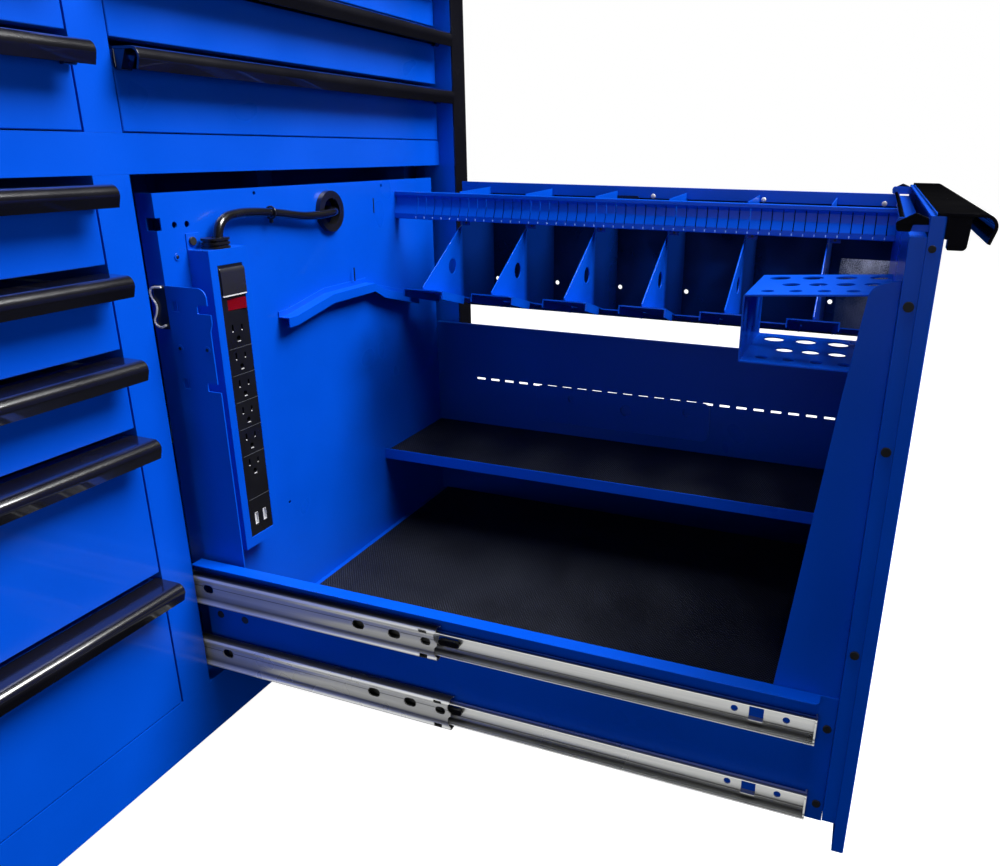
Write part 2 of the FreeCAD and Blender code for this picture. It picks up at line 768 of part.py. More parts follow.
def make_trims():
    front = -s.postProud
    back = front + s.trimThick
    screws = 5
    parts = []
    for word, side in (("left", -1), ("right", 1)):
        strip = profile(
            f"{word}_strip",
            "XY",
            [
                (post_inner * side, back),
                (post_inner * side, front, Size(1)),
                (body_half * side, front, Size(2)),
                (body_half * side, back),
            ],
            s.bodyBottom + s.trimEnd,
            s.bodyTop - s.trimEnd,
        )
        parts.append(strip)
        pitch = (s.bodyTop - s.bodyBottom - s.trimEnd * 4) / (screws - 1)
        for i in range(screws):
            level = s.bodyBottom + s.trimEnd * 2 + pitch * i
            where = ((post_inner + s.postWidth / 2) * side, front - 0.8, level)
            parts.append(rod(f"{word}_strip_screw_{i + 1}", where, "y", 0.8, s.trimScrew))
    node("corner_trims", parts)


def axle(name, x, y):
    """A caster's axle bolt with a head and a nut."""
    shank = s.wheelWidth / 2 + s.forkPlay + s.forkSteel
    return join(
        name,
        [
            rod(f"{name}_shank", (x, y - shank, s.wheelRadius), "y", shank * 2, s.axleRadius),
            rod(f"{name}_head", (x, y - shank - 5, s.wheelRadius), "y", 5, s.axleRadius * 1.6),
            rod(f"{name}_nut", (x, y + shank, s.wheelRadius), "y", 5, s.axleRadius * 1.6),
        ],
    )


def fork_legs(name, x, y, trail, top):
    """Two legs from a crown down to the axle, which trails behind the swivel axis."""
    hub = x - trail
    outline = [
        (x - s.crownRadius, top),
        (x + s.crownRadius, top),
        (hub + 15, s.wheelRadius - 16, Size(12)),
        (hub - 15, s.wheelRadius - 16, Size(12)),
    ]
    inner = s.wheelWidth / 2 + s.forkPlay
    legs = []
    for word, start in (("front", y - inner - s.forkSteel), ("rear", y + inner)):
        legs.append(
            profile(
                f"{name}_{word}_leg",
                "XZ",
                outline,
                start,
                start + s.forkSteel,
                circles=[(hub, s.wheelRadius, s.axleRadius)],
            )
        )
    return legs


def mounting_plate(name, x, y):
    return block(
        name,
        (x - s.plateLength / 2, y - s.plateWidth / 2, s.bodyBottom - s.plateThick),
        (x + s.plateLength / 2, y + s.plateWidth / 2, s.bodyBottom),
    )


def make_casters():
    end = body_half - s.casterInset
    rows = (("front", s.casterInset), ("rear", s.bodyBack - s.casterInset))
    plate_foot = s.bodyBottom - s.plateThick
    crown_top = plate_foot - s.raceHeight - s.crownPlay
    crown_foot = crown_top - s.crownHeight
    mounts = []
    for word, y in rows:
        legs = fork_legs(f"left_{word}", -end, y, Size(0), plate_foot)
        mounts.append(join(f"left_{word}_fork", [mounting_plate(f"left_{word}_plate", -end, y), *legs]))
        mounts.append(axle(f"left_{word}_axle", -end, y))
        pin_foot = crown_foot - s.crownPlay - s.pinHead
        mounts.append(
            join(
                f"right_{word}_mount",
                [
                    mounting_plate(f"right_{word}_plate", end, y),
                    rod(f"right_{word}_race", (end, y, plate_foot - s.raceHeight), "z", s.raceHeight,
                        s.crownRadius - 2),
                    rod(
                        f"right_{word}_kingpin",
                        (end, y, pin_foot),
                        "z",
                        plate_foot - pin_foot,
                        s.axleRadius,
                    ),
                    rod(f"right_{word}_pin_head", (end, y, pin_foot), "z", s.pinHead, s.axleRadius * 1.6),
                ],
            )
        )
    node("caster_mounts", mounts)
    for word, y in rows:
        name = f"swivel_fork_{word}"
        crown = rod(f"{name}_crown", (end, y, crown_foot), "z", s.crownHeight, s.crownRadius)
        legs = fork_legs(name, end, y, s.casterTrail, crown_foot + 1)
        bore_radius = s.axleRadius + s.runningPlay
        bore = rod(f"{name}_bore", (end, y, crown_foot - 1), "z", s.crownHeight + 2, bore_radius)
        fork = cut(f"{name}_body", join(f"{name}_crown_and_legs", [crown, *legs]), [bore])
        node(name, [fork, axle(f"{name}_axle", end - s.casterTrail, y)])
    for word, y in rows:
        make_wheel(f"wheel_left_{word}", -end, y)
        make_wheel(f"wheel_right_{word}", end - s.casterTrail, y)


def make_wheel(name, x, y):
    bore = s.axleRadius + s.runningPlay
    rim = s.wheelRadius - s.treadThick
    hub = s.wheelWidth / 2 + s.forkPlay - 0.5
    web = s.wheelWidth / 6
    tread = s.wheelWidth / 2
    core = revolved(
        f"{name}_core",
        [
            (bore, -hub),
            (s.hubRadius, -hub),
            (s.hubRadius + 2, -web),
            (rim - 5, -web),
            (rim - 4, 3 - tread),
            (rim, 3 - tread),
            (rim, tread - 3),
            (rim - 4, tread - 3),
            (rim - 5, web),
            (s.hubRadius + 2, web),
            (s.hubRadius, hub),
            (bore, hub),
        ],
        (x, y, s.wheelRadius),
    )
    tyre = revolved(
        f"{name}_tyre",
        [
            (rim, -tread),
            (s.wheelRadius, -tread, Size(6)),
            (s.wheelRadius, tread, Size(6)),
            (rim, tread),
        ],
        (x, y, s.wheelRadius),
    )
    node(name, [core, tyre])


def make_drawers():
    """Both banks; returns the fixed slide members."""
    rails = []
    for word, side in (("left", -1), ("right", 1)):
        for row in range(3):
            low = band_top + s.rowPitch * (2 - row)
            rails += drawer(f"{word}_drawer_{row + 1}", side, low, low + s.rowPitch)
    top = s.bandBottom
    heights = [s.rowPitch, s.rowPitch, s.rowPitch, s.deepRow]
    for row, height in enumerate(heights, start=4):
        rails += drawer(f"left_drawer_{row}", -1, top - height, top)
        top = top - height
    rails += drawer("left_drawer_8", -1, s.railTop, top)
    return rails


def make_pullout_slides(rails):
    """The four three-part slides; the fixed members join the cabinet's."""
    inner, middle = [], []
    lag = s.middleLag
    sides = (("near", upright_half, box_near, 1), ("far", post_inner, box_far, -1))
    for level, rise in (("low", s.lowSlide), ("high", s.highSlide)):
        for word, frame, wall, side in sides:
            name = f"pullout_{word}_{level}"
            rails.append(channel(f"{name}_rail", frame, side, s.fixedMember, s.slideHeight, rise, Size(0)))
            middle.append(
                channel(f"{name}_middle", frame + s.middleStep * side, side, s.middleMember, s.middleHeight,
                        rise, lag - s.travel / 2, -lag)
            )
            inner.append(
                channel(f"{name}_inner", wall, -side, s.innerMember, s.innerHeight, rise, -s.travel)
            )
    node("slide_rails", rails)
    node("slide_middle_members", middle)
    node("slide_drawer_members", inner)


def make_pullout_front():
    outer = front_pan(
        "pullout_outer_pan", front_near, front_far, s.pulloutFoot, pullout_top, out(Size(0)), s.outerSkin
    )
    near, far = front_near + s.panStep, front_far - s.panStep
    back = out(s.frontDepth)
    inner = cut(
        "pullout_inner_pan",
        block("inner_pan_outside", (near, out(s.outerSkin), s.innerPanFoot), (far, back, s.innerPanTop)),
        [
            block(
                "inner_pan_inside",
                (near + s.steel, out(s.outerSkin) - 1, s.innerPanFoot + s.steel),
                (far - s.steel, back - s.steel, s.innerPanTop - s.steel),
            )
        ],
    )
    lugs = []
    for word, start in (("near", s.latchStart + 6), ("far", s.latchEnd - 10)):
        lugs.append(
            profile(
                f"latch_{word}_lug",
                "YZ",
                [
                    (out(s.steel), s.latchZ - s.lugDrop),
                    (out(s.latchY) + 4.5, s.latchZ - s.lugDrop, Size(2)),
                    (out(s.latchY) + 4.5, s.latchZ + 5, Size(3)),
                    (out(s.steel), s.latchZ + 5),
                ],
                start,
                start + s.steel,
                circles=[(out(s.latchY), s.latchZ, s.latchRadius + s.runningPlay)],
            )
        )
    node("pullout_front", [outer, inner, *lugs])
    pull("pullout_pull", front_near, front_far, pullout_top, out(Size(0)), s.blockDrop)


def make_tray():
    start, end = out(s.frontDepth), out(s.rearPlane)
    far_outer = s.farWall + s.steel
    near_wall = join(
        "near_tray_wall",
        [
            block("near_wall_sheet", (box_near, start, s.trayFloor), (box_near + s.steel, end, s.trayWall)),
            profile(
                "near_wall_lip",
                "XY",
                [
                    (box_near - s.trayLip, out(s.slideStart), Size(6)),
                    (box_near, out(s.slideStart)),
                    (box_near, end),
                    (box_near - s.trayLip, end),
                ],
                s.trayWall - s.steel,
                s.trayWall,
            ),
        ],
    )
    floor = block("tray_floor", (box_near + s.steel, start, s.trayFloor), (s.farWall, end, tray_top))
    far_sheet = block("far_wall_sheet", (s.farWall, start, s.trayFloor), (far_outer, end, s.farWallTop))
    far_lip = block("far_wall_lip", (far_outer, start, s.farWallTop - s.steel), (box_far, end, s.farWallTop))
    slots = []
    for i in range(int(s.slotCount.value)):
        centre = out(s.slotFirst + s.slotPitch * i)
        slots.append(
            block(
                f"far_wall_slot_{i + 1}",
                (s.farWall - 1, centre - s.slotLength / 2, s.slotLevel - s.slotWidth / 2),
                (far_outer + 1, centre + s.slotLength / 2, s.slotLevel + s.slotWidth / 2),
            )
        )
    far_wall = cut("far_tray_wall", join("far_wall_blank", [far_sheet, far_lip]), slots)
    spacers = []
    for level, rise in (("low", s.lowSlide), ("high", s.highSlide)):
        spacers.append(
            tube_between(
                f"{level}_slide_spacer",
                (far_outer, out(s.slideStart), rise - s.spacerHeight / 2),
                (box_far, out(s.slideStart + s.slideLength), rise + s.spacerHeight / 2),
                "y",
            )
        )
    node("pullout_tray", [near_wall, floor, far_wall, *spacers])
    shelf_sheet = block(
        "shelf_sheet", (s.shelfEdge, start, s.shelfTop - s.steel), (s.farWall, end, s.shelfTop)
    )
    shelf_lip = block(
        "shelf_lip",
        (s.shelfEdge, start, s.shelfTop - s.lipDrop),
        (s.shelfEdge + s.steel, end, s.shelfTop + s.lipRise),
    )
    node("mid_shelf", join("mid_shelf_sheet", [shelf_sheet, shelf_lip]))
    mats = [
        block(
            "tray_mat",
            (box_near + s.steel + s.gussetTab + 1, start + 2, tray_top),
            (s.farWall - 1.5, end - s.matEnd, tray_top + s.matThick),
        ),
        block(
            "shelf_mat",
            (s.shelfEdge + s.steel + 1, start + 2, s.shelfTop),
            (s.farWall - 1, end - 2, s.shelfTop + s.matThick),
        ),
    ]
    node("drawer_mats", mats)


def make_rear_panel():
    front = out(s.rearPlane)
    back = front + s.steel
    holes = [
        (62.9, 702.1, 3.0),
        (78.2, 701.7, 3.0),
        (175.2, 725.8, 2.0),
        (417.3, 724.9, 2.0),
        (178.0, 372.6, 2.0),
        (s.grommetX, s.grommetZ, s.grommetNeck),
    ]
    sheet_body = profile(
        "rear_sheet",
        "XZ",
        [
            (s.rearLeft, tray_top),
            (s.farWall, tray_top),
            (s.farWall, s.rearTop),
            (s.rearLeft, s.rearTop, Size(2)),
        ],
        front,
        back,
        circles=holes,
    )
    fold = block(
        "rear_fold", (s.rearLeft, front, tray_top), (s.rearLeft + s.steel, front + s.rearFold, s.rearTop)
    )
    window = block(
        "rear_window",
        (s.rearLeft - 1, front - 1, s.windowFoot),
        (s.rearLeft + s.windowSide / 2, front + s.windowSide, s.windowFoot + s.windowSide),
    )
    node("pullout_rear_panel", cut("rear_panel_sheet", join("rear_blank", [sheet_body, fold]), [window]))


def make_side_plate():
    """The notched plate that stands forward of the rear panel, inside the near tray wall."""
    back = out(s.rearPlane)
    front = back - s.plateReach
    narrow = front + s.notchStep
    deep = front + s.notchDepth
    corners = [
        (back, tray_top),
        (front, tray_top),
        (front, s.notchLow),
        (deep, s.notchLow, Size(1)),
        (deep, s.notchLow + s.notchHeight, Size(1)),
        (narrow, s.notchLow + s.notchHeight),
        (narrow, s.notchHigh - s.notchHeight * 2),
        (front, s.notchHigh - s.notchHeight),
        (front, s.notchHigh),
        (deep, s.notchHigh, Size(1)),
        (deep, s.notchHigh + s.notchHeight, Size(1)),
        (narrow, s.notchHigh + s.notchHeight),
        (narrow, s.plateTop, Size(9)),
        (back, s.plateTop),
    ]
    edge = back - s.lanceBack
    windows = []
    for level in (s.notchLow, s.notchHigh):
        windows.append(
            [
                (edge - s.lanceWidth, level),
                (edge, level),
                (edge, level + s.lanceHeight),
                (edge - s.lanceWidth, level + s.lanceHeight),
            ]
        )
    plate = profile(
        "side_plate_sheet", "YZ", corners, s.rearLeft - s.steel, s.rearLeft, holes=windows
    )
    node("rear_side_plate", plate)


def make_gusset():
    """The tall curved plate that braces the front panel."""
    near = box_near + s.steel + s.gussetPlay
    start = out(s.frontDepth)
    plate = profile(
        "gusset_plate",
        "YZ",
        [
            (start, tray_top),
            (start, s.gussetTop),
            (out(s.gussetShoulder), s.gussetTop - 5, Size(12)),
            (out(s.gussetWaist), s.gussetWaistHeight, Size(60)),
            (out(s.gussetFoot), tray_top),
        ],
        near,
        near + s.gussetSteel,
    )
    tab = block(
        "gusset_tab",
        (near, start, tray_top),
        (near + s.gussetTab, start + s.gussetSteel, s.gussetTop - s.gussetTab),
    )
    node("front_gusset", join("gusset_sheet", [plate, tab]))


def make_rack():
    start, end = out(s.frontDepth), out(s.rearPlane)
    root, foot, head = s.rackRoot, s.railFoot, s.railHead
    trough = profile(
        "slotted_rail_blank",
        "XZ",
        [
            (root + 8, head),
            (root - 1, head, Size(0.8)),
            (root - 1, head - 4.5, Size(1)),
            (root + 2, head - 8, Size(2)),
            (root + 1.5, head - 18, Size(6)),
            (root - 3.6, foot + 7, Size(1.5)),
            (root - 3.6, foot, Size(1)),
            (root + 8, foot),
            (root + 8, foot + s.steel),
            (root - 2.4, foot + s.steel, Size(0.2)),
            (root - 2.4, foot + 6.7, Size(0.4)),
            (root + 2.7, head - 18.3, Size(5)),
            (root + 3.2, head - 7.6, Size(1)),
            (root + 0.2, head - 4.1, Size(0.2)),
            (root + 0.2, head - s.steel, Size(0.2)),
            (root + 8, head - s.steel),
        ],
        start,
        end,
    )
    slits = []
    for i in range(int(s.slitCount.value)):
        centre = out(s.slitFirst + s.slitPitch * i)
        slits.append(
            block(
                f"slit_{i + 1}",
                (root - 6, centre - s.slitWidth / 2, foot + 5.5),
                (root + 4.5, centre + s.slitWidth / 2, head - 5.5),
            )
        )
    rail = cut("slotted_rail", trough, slits)
    rail_top = s.farRailTop
    far_rail = tube_between(
        "far_rail",
        (s.rackFar - s.farRailWidth, start, rail_top - s.farRailHeight),
        (s.rackFar, out(s.farRailEnd), rail_top),
        "y",
    )
    node("rack_rails", [rail, far_rail])
    slope = math.tan(math.radians(s.rackFall.value))
    divider_top = rail_top - 6
    wall = s.rackFar - s.farRailWidth
    dividers, holes = [], []
    for i in range(int(s.dividerCount.value)):
        centre = s.dividerFirst + s.dividerPitch * i
        tip = s.rackTipHeight
        dividers.append(
            profile(
                f"divider_{i + 1}",
                "XZ",
                [
                    (s.rackTip + 1, tip + 0.2),
                    (s.rackFar, tip + 0.45 - (s.rackFar - s.rackTip) * slope),
                    (s.rackFar, rail_top - s.farRailHeight),
                    (wall, rail_top - s.farRailHeight),
                    (wall, divider_top),
                    (root + 8.5, divider_top - 3),
                    (root + 8.5, foot - 6),
                    (s.rackTip + 1, tip + 3),
                ],
                out(centre) - s.steel / 2,
                out(centre) + s.steel / 2,
                circles=[(s.fingerHoleX, s.fingerHoleZ, s.fingerHole)],
            )
        )
        holes.append((out(centre - 6), s.peepHeight, Size(3)))
    node("rack_dividers", dividers)
    back_plate = profile(
        "rack_back_sheet",
        "YZ",
        [
            (start, s.rackBackFoot),
            (out(s.farRailEnd), s.rackBackFoot),
            (out(s.farRailEnd), rail_top),
            (start, rail_top),
        ],
        s.rackFar,
        s.rackFar + s.steel,
        circles=holes,
    )
    node("rack_back_plate", back_plate)
    make_rack_shelf()


def make_rack_shelf():
    """The sloping shelf under the dividers, cut into tongues whose long edges are folded down."""
    slope = math.cos(math.radians(s.rackFall.value))
    length = (s.rackFar - s.rackTip) / slope
    tongue = (s.rackRoot - s.rackTip) / slope
    corners = [(length, out(s.frontDepth + 0.3)), (length, out(s.shelfEnd)), (tongue, out(s.shelfEnd))]
    tabs = []
    spread = math.degrees(math.atan2(s.tongueRoot.value - s.tongueTip.value, tongue.value))
    for i in reversed(range(int(s.dividerCount.value))):
        centre = out(s.dividerFirst + s.dividerPitch * i)
        corners += [
            (tongue, centre + s.tongueRoot),
            (Size(0), centre + s.tongueTip, Size(5)),
            (Size(0), centre - s.tongueTip, Size(5)),
            (tongue, centre - s.tongueRoot),
        ]
        for word, side in (("rear", 1), ("front", -1)):
            tab = doc.addObject("Part::Box", f"tongue_{i + 1}_{word}_tab")
            bind(tab, "Length", s.tabLength)
            bind(tab, "Width", s.steel)
            bind(tab, "Height", s.tongueTab)
            tab.Placement.Rotation = FreeCAD.Rotation(FreeCAD.Vector(0, 0, 1), spread * side)
            inward = 0 if side < 0 else s.steel
            edge = centre + (s.tongueTip - 0.3) * side
            place(tab, (Size(2), edge - inward, -s.tongueTab))
            tabs.append(tab)
    corners.append((tongue, out(s.frontDepth + 0.3)))
    sheet_body = profile("rack_shelf_sheet", "XY", corners, -s.steel, 0)
    shelf = join("rack_shelf_folded", [sheet_body, *tabs])
    turn = FreeCAD.Rotation(FreeCAD.Vector(0, 1, 0), s.rackFall.value)
    shelf.Placement = FreeCAD.Placement(FreeCAD.Vector(), turn)
    place(shelf, (s.rackTip, Size(0), s.rackTipHeight))
    node("rack_shelf", shelf)


def make_bit_holder():
    """Two drilled plates, one over the other, with a wall behind them."""
    start, back = out(s.frontDepth), out(s.holderBack)
    rise = s.holderHead + s.holderTilt
    t = s.steel
    blank = profile(
        "bit_holder_blank",
        "YZ",
        [
            (start, s.holderFoot),
            (back, s.holderFoot, Size(2)),
            (back, s.holderHead, Size(2)),
            (start, rise),
            (start, rise - t),
            (back - t, s.holderHead - t, Size(0.5)),
            (back - t, s.holderFoot + t, Size(0.5)),
            (start, s.holderFoot + t),
        ],
        s.holderNear,
        s.holderFar,
    )
    rows = (
        (s.holderNear + 21.3, s.holderBack - 18.3, 24.4, 5, Size(6.0)),
        (s.holderNear + 61.2, s.holderBack - 34.8, 24.3, 4, Size(8.5)),
        (s.holderNear + 106.2, s.holderBack - 19.8, 31.2, 4, Size(10.3)),
    )
    drills = []
    for row, (x, first, pitch, count, radius) in enumerate(rows, start=1):
        for i in range(count):
            where = (x, out(first - pitch * i), s.holderFoot - 1)
            height = rise - s.holderFoot + 2
            drills.append(rod(f"bit_hole_{row}_{i + 1}", where, "z", height, radius))
    node("bit_holder", cut("bit_holder_drilled", blank, drills))


def make_hook_arm():
    """The bent bracket on the rear panel that carries the shelf's rear end."""
    end = out(s.rearPlane)
    bends = ((192.0, 592.5), (206.0, 592.5), (277.0, 606.0), (366.0, 606.5), (388.0, 595.0), (475.0, 573.0))
    upper = [(Size(x), Size(z)) for x, z in bends]
    under = [(x, z - s.steel) for x, z in reversed(upper)]
    over = [(x, z + s.armLeg) for x, z in reversed(upper)]
    ledge = profile("arm_ledge", "XZ", upper + under, end - s.armDepth, end)
    leg = profile("arm_leg", "XZ", upper + over, end - s.steel, end)
    below = [(x, z - s.armLip) for x, z in reversed(upper)]
    lip = profile("arm_lip", "XZ", upper + below, end - s.armDepth, end - s.armDepth + s.steel)
    node("hook_arm", join("hook_arm_sheet", [ledge, leg, lip]))


def make_power_strip():
    back = out(s.rearPlane)
    front = back - s.stripDepth
    left, right = s.stripLeft, s.stripLeft + s.stripWidth
    foot, head = s.stripFoot, s.stripFoot + s.stripHeight
    wall = s.slideSteel
    margin = (s.stripWidth - s.faceWidth) / 2
    face_foot, face_head = foot + s.faceRise, foot + s.faceRise + s.faceHeight
    shell = cut(
        "strip_shell",
        block("strip_outside", (left, front, foot), (right, back, head)),
        [
            block(
                "strip_inside",
                (left + wall, front + wall, foot + wall),
                (right - wall, back + 1, head - wall),
            ),
            block(
                "strip_window",
                (left + margin, front - 1, face_foot),
                (right - margin, back, face_head),
            ),
        ],
    )
    ear = block("strip_ear", (left, back - wall, head - 1), (left + s.earWidth, back, head + s.earHeight))
    node("strip_housing", join("strip_cover", [shell, ear]))
    face_left, face_right = left + margin + 0.3, right - margin - 0.3
    face = block(
        "strip_face_blank",
        (face_left, front + 0.4, face_foot + 0.3),
        (face_right, back - 1, face_head - 0.3),
    )
    centre = (face_left + face_right) / 2
    pivot_foot = s.rockerZ - s.rockerHeight / 2 - s.pivotReach
    holes = [
        block(
            "rocker_well",
            (s.rockerX - s.rockerWidth / 2 - 1.1, front - 1, s.rockerZ - s.rockerHeight / 2 - 0.6),
            (s.rockerX + s.rockerWidth / 2 + 1.1, front + 12, s.rockerZ + s.rockerHeight / 2 + 0.6),
        ),
        rod(
            "rocker_sockets",
            (s.rockerX, front + s.rockerPivot, pivot_foot - 0.3),
            "z",
            s.rockerHeight + s.pivotReach * 2 + 0.6,
            s.pivotRadius + s.runningPlay,
        ),
    ]
    for i in range(6):
        level = s.outletTop - s.outletPitch * i
        for word, offset, height in (("neutral", -s.bladeOffset, 8.0), ("live", s.bladeOffset, 6.4)):
            holes.append(
                block(
                    f"outlet_{i + 1}_{word}",
                    (centre + offset - 1.1, front - 1, level),
                    (centre + offset + 1.1, front + 9, level + height),
                )
            )
        holes.append(rod(f"outlet_{i + 1}_earth", (centre, front - 1, level - 6.5), "y", 10, 2.4))
    for word, offset in (("left", -s.bladeOffset), ("right", s.bladeOffset)):
        holes.append(
            block(
                f"charge_port_{word}",
                (centre + offset - 2.6, front - 1, s.portZ - 6.8),
                (centre + offset + 2.6, front + 9, s.portZ + 6.8),
            )
        )
    node("strip_insert", cut("strip_face", face, holes))
    half = s.rockerWidth / 2
    rocker = profile(
        "rocker_cap",
        "XY",
        [
            (-half, -s.rockerPivot, Size(1)),
            (Size(0), 1.2 - s.rockerPivot),
            (half, -s.rockerPivot, Size(1)),
            (half - 1, 2),
            (Size(0), 5),
            (1 - half, 2),
        ],
        0,
        s.rockerHeight,
    )
    lean = FreeCAD.Rotation(FreeCAD.Vector(0, 0, 1), -s.rockerTilt.value)
    rocker.Placement = FreeCAD.Placement(FreeCAD.Vector(), lean)
    place(rocker, (s.rockerX, front + s.rockerPivot, s.rockerZ - s.rockerHeight / 2))
    stubs = rod(
        "rocker_stubs",
        (s.rockerX, front + s.rockerPivot, pivot_foot),
        "z",
        s.rockerHeight + s.pivotReach * 2,
        s.pivotRadius,
    )
    node("rocker_switch", join("rocker_on_stubs", [rocker, stubs]))
    make_cord()


def route(points):
    """Straight runs joined by tangent arcs, each as large as its two runs allow."""
    edges, radii = [], []
    at = points[0]
    for before, corner, after in zip(points, points[1:], points[2:]):
        back, ahead = before - corner, after - corner
        half_turn = (math.pi - back.getAngle(ahead)) / 2
        radius = 0.45 * min(back.Length, ahead.Length) / math.tan(half_turn)
        first, last, centre = rounded(before, corner, after, radius)
        middle = centre + (corner - centre).normalize() * radius
        edges.append(Part.LineSegment(at, first).toShape())
        edges.append(Part.Arc(first, middle, last).toShape())
        radii.append(radius)
        at = last
    edges.append(Part.LineSegment(at, points[-1]).toShape())
    return Part.Wire(edges), radii


def swept(name, points, radius):
    """A round wire or lead along a route; prints its bends and compares its volume."""
    path, radii = route([FreeCAD.Vector(*point) for point in points])
    start = path.Edges[0]
    tangent = start.tangentAt(start.FirstParameter)
    ring = Part.Wire(Part.Circle(start.valueAt(start.FirstParameter), tangent, radius).toShape())
    solid = path.makePipeShell([ring], True, False)
    expected = math.pi * radius**2 * path.Length
    print(name, "length", round(path.Length, 1), "radii", [round(r, 1) for r in radii],
          "volume ratio", round(solid.Volume / expected, 4))
    feature = doc.addObject("Part::Feature", name)
    feature.Shape = solid
    return feature


def make_cord():
    shift = s.travel.value
    middle = out(s.rearPlane) - s.stripDepth / 2
    head = s.stripFoot + s.stripHeight
    x, z = s.leadX.value, head.value
    inner = middle.value
    wall = s.rearPlane.value - shift - s.cordRadius.value - 3.2
    hole_x, hole_z = s.grommetX.value, s.grommetZ.value
    points = [
        (x, inner, z + 0.3),
        (x + 0.3, inner, z + 11.8),
        (x + 6.0, inner + 0.8, z + 22.3),
        (x + 19.0, inner + 2.9, z + 28.1),
        (x + 41.0, wall - 0.2, z + 30.1),
        (x + 66.0, wall, z + 29.0),
        (x + 86.0, wall, z + 27.2),
        (x + 104.0, wall, z + 25.2),
        (x + 122.0, wall, z + 22.4),
        (x + 144.0, wall - 0.6, z + 19.6),
        (x + 167.0, wall - 4.0, z + 19.8),
        (hole_x - 9.3, wall - 4.3, hole_z - 0.7),
        (hole_x + 3.9, wall + 0.6, hole_z - 0.1),
        (hole_x + 8.9, wall + 11.6, hole_z + 0.4),
        (hole_x + 9.3, wall + 23.7, hole_z + 0.8),
    ]
    node("power_cord", swept("power_lead", points, s.cordRadius.value))
    front, back = middle - s.stripDepth / 2 + 0.6, out(s.rearPlane) - s.slideSteel - 2.2
    ribs = []
    for i, inset in enumerate((Size(0), s.glandGroove, Size(0), s.glandGroove, Size(0))):
        half = s.glandWidth / 2 - inset
        corners = [
            (s.glandX - half, front + inset, Size(9)),
            (s.glandX + half, front + inset, Size(9)),
            (s.glandX + half, back - inset, Size(9)),
            (s.glandX - half, back - inset, Size(9)),
        ]
        foot = head + s.glandRib * 0.6 * i
        ribs.append(profile(f"gland_rib_{i + 1}", "XY", corners, foot, foot + s.glandRib * 0.6))
    tall = s.glandRib * 3
    bore = rod("gland_bore", (s.leadX, middle, head - 1), "z", tall + 2, s.cordRadius + s.glandPlay)
    gland = cut("cord_gland", join("gland_blank", ribs), [bore])
    panel = out(s.rearPlane)
    ring = join(
        "grommet_blank",
        [
            rod(
                "grommet_flange",
                (s.grommetX, panel - s.grommetProud, s.grommetZ),
                "y",
                s.grommetProud,
                s.grommetNeck + s.grommetRim,
            ),
            rod(
                "grommet_neck",
                (s.grommetX, panel - 1, s.grommetZ),
                "y",
                s.steel + 4,
                s.grommetNeck - s.cordPlay,
            ),
        ],
    )
    mouth = rod(
        "grommet_mouth", (s.grommetX, panel - 10, s.grommetZ), "y", 30, s.grommetNeck - s.grommetWall
    )
    grommet = cut("wall_grommet", ring, [mouth])
    band = doc.addObject("Part::Torus", "tie_band")
    bind(band, "Radius1", s.cordRadius + s.tiePlay)
    bind(band, "Radius2", s.tieWire)
    along = FreeCAD.Rotation(FreeCAD.Vector(0, 1, 0), s.tieTilt.value).multiply(TURNS["x"])
    band.Placement = FreeCAD.Placement(FreeCAD.Vector(), along)
    place(band, (s.tieX, wall, s.tieZ))
    knot_head = s.tieZ - s.cordRadius - s.tiePlay
    knot = block(
        "tie_knot",
        (s.tieX - 1.6, wall - 1.6, knot_head - 4),
        (s.tieX + 1.6, wall + 1.6, knot_head),
    )
    tie = join("lead_tie", [band, knot])
    node("cord_fittings", [gland, grommet, tie])


def make_fasteners():
    """Visible screws and rivets of the pull-out, and the spring clip on its rear fold."""
    parts = []
    pan_side = front_near + s.panStep
    for i, level in enumerate((680.9, 580.8, 417.1), start=1):
        parts.append(rod(f"front_screw_{i}", (pan_side - 2, out(Size(14.5)), level), "x", 2, 3.4))
    for i, level in enumerate((s.highSlide, s.lowSlide), start=1):
        parts.append(rod(f"wall_screw_{i}", (box_near - 2, out(Size(26.0)), level), "x", 2, 3.4))
    parts.append(rod("front_rivet", (front_near - 1, out(Size(6.0)), 718), "x", 1, 2.4))
    rear = out(s.rearPlane)
    side = s.rearLeft - s.steel - 0.8
    for i, (y, level) in enumerate(((9.0, 590.4), (41.5, 591.6)), start=1):
        parts.append(rod(f"plate_rivet_{i}", (side, rear - y, level), "x", 0.8, 3.6))
    parts.append(rod("panel_rivet", (60.4, rear - 0.8, 672.9), "y", 0.8, 3.4))
    parts.append(rod("ear_screw", (80.3, rear - s.slideSteel - 2, 685.8), "y", 2, 4.0))
    x = s.rearLeft.value - 3
    y = s.rearPlane.value - s.travel.value
    clip = [
        (x + 2, y + 1.5, 648.5),
        (x - 0.5, y + 7.0, 647.5),
        (x, y + 8.0, 640.0),
        (x + 0.5, y + 4.0, 629.0),
        (x, y + 8.5, 617.0),
        (x + 2, y + 1.5, 609.5),
    ]
    parts.append(swept("spring_clip", clip, 0.9))
    node("pullout_fasteners", parts)


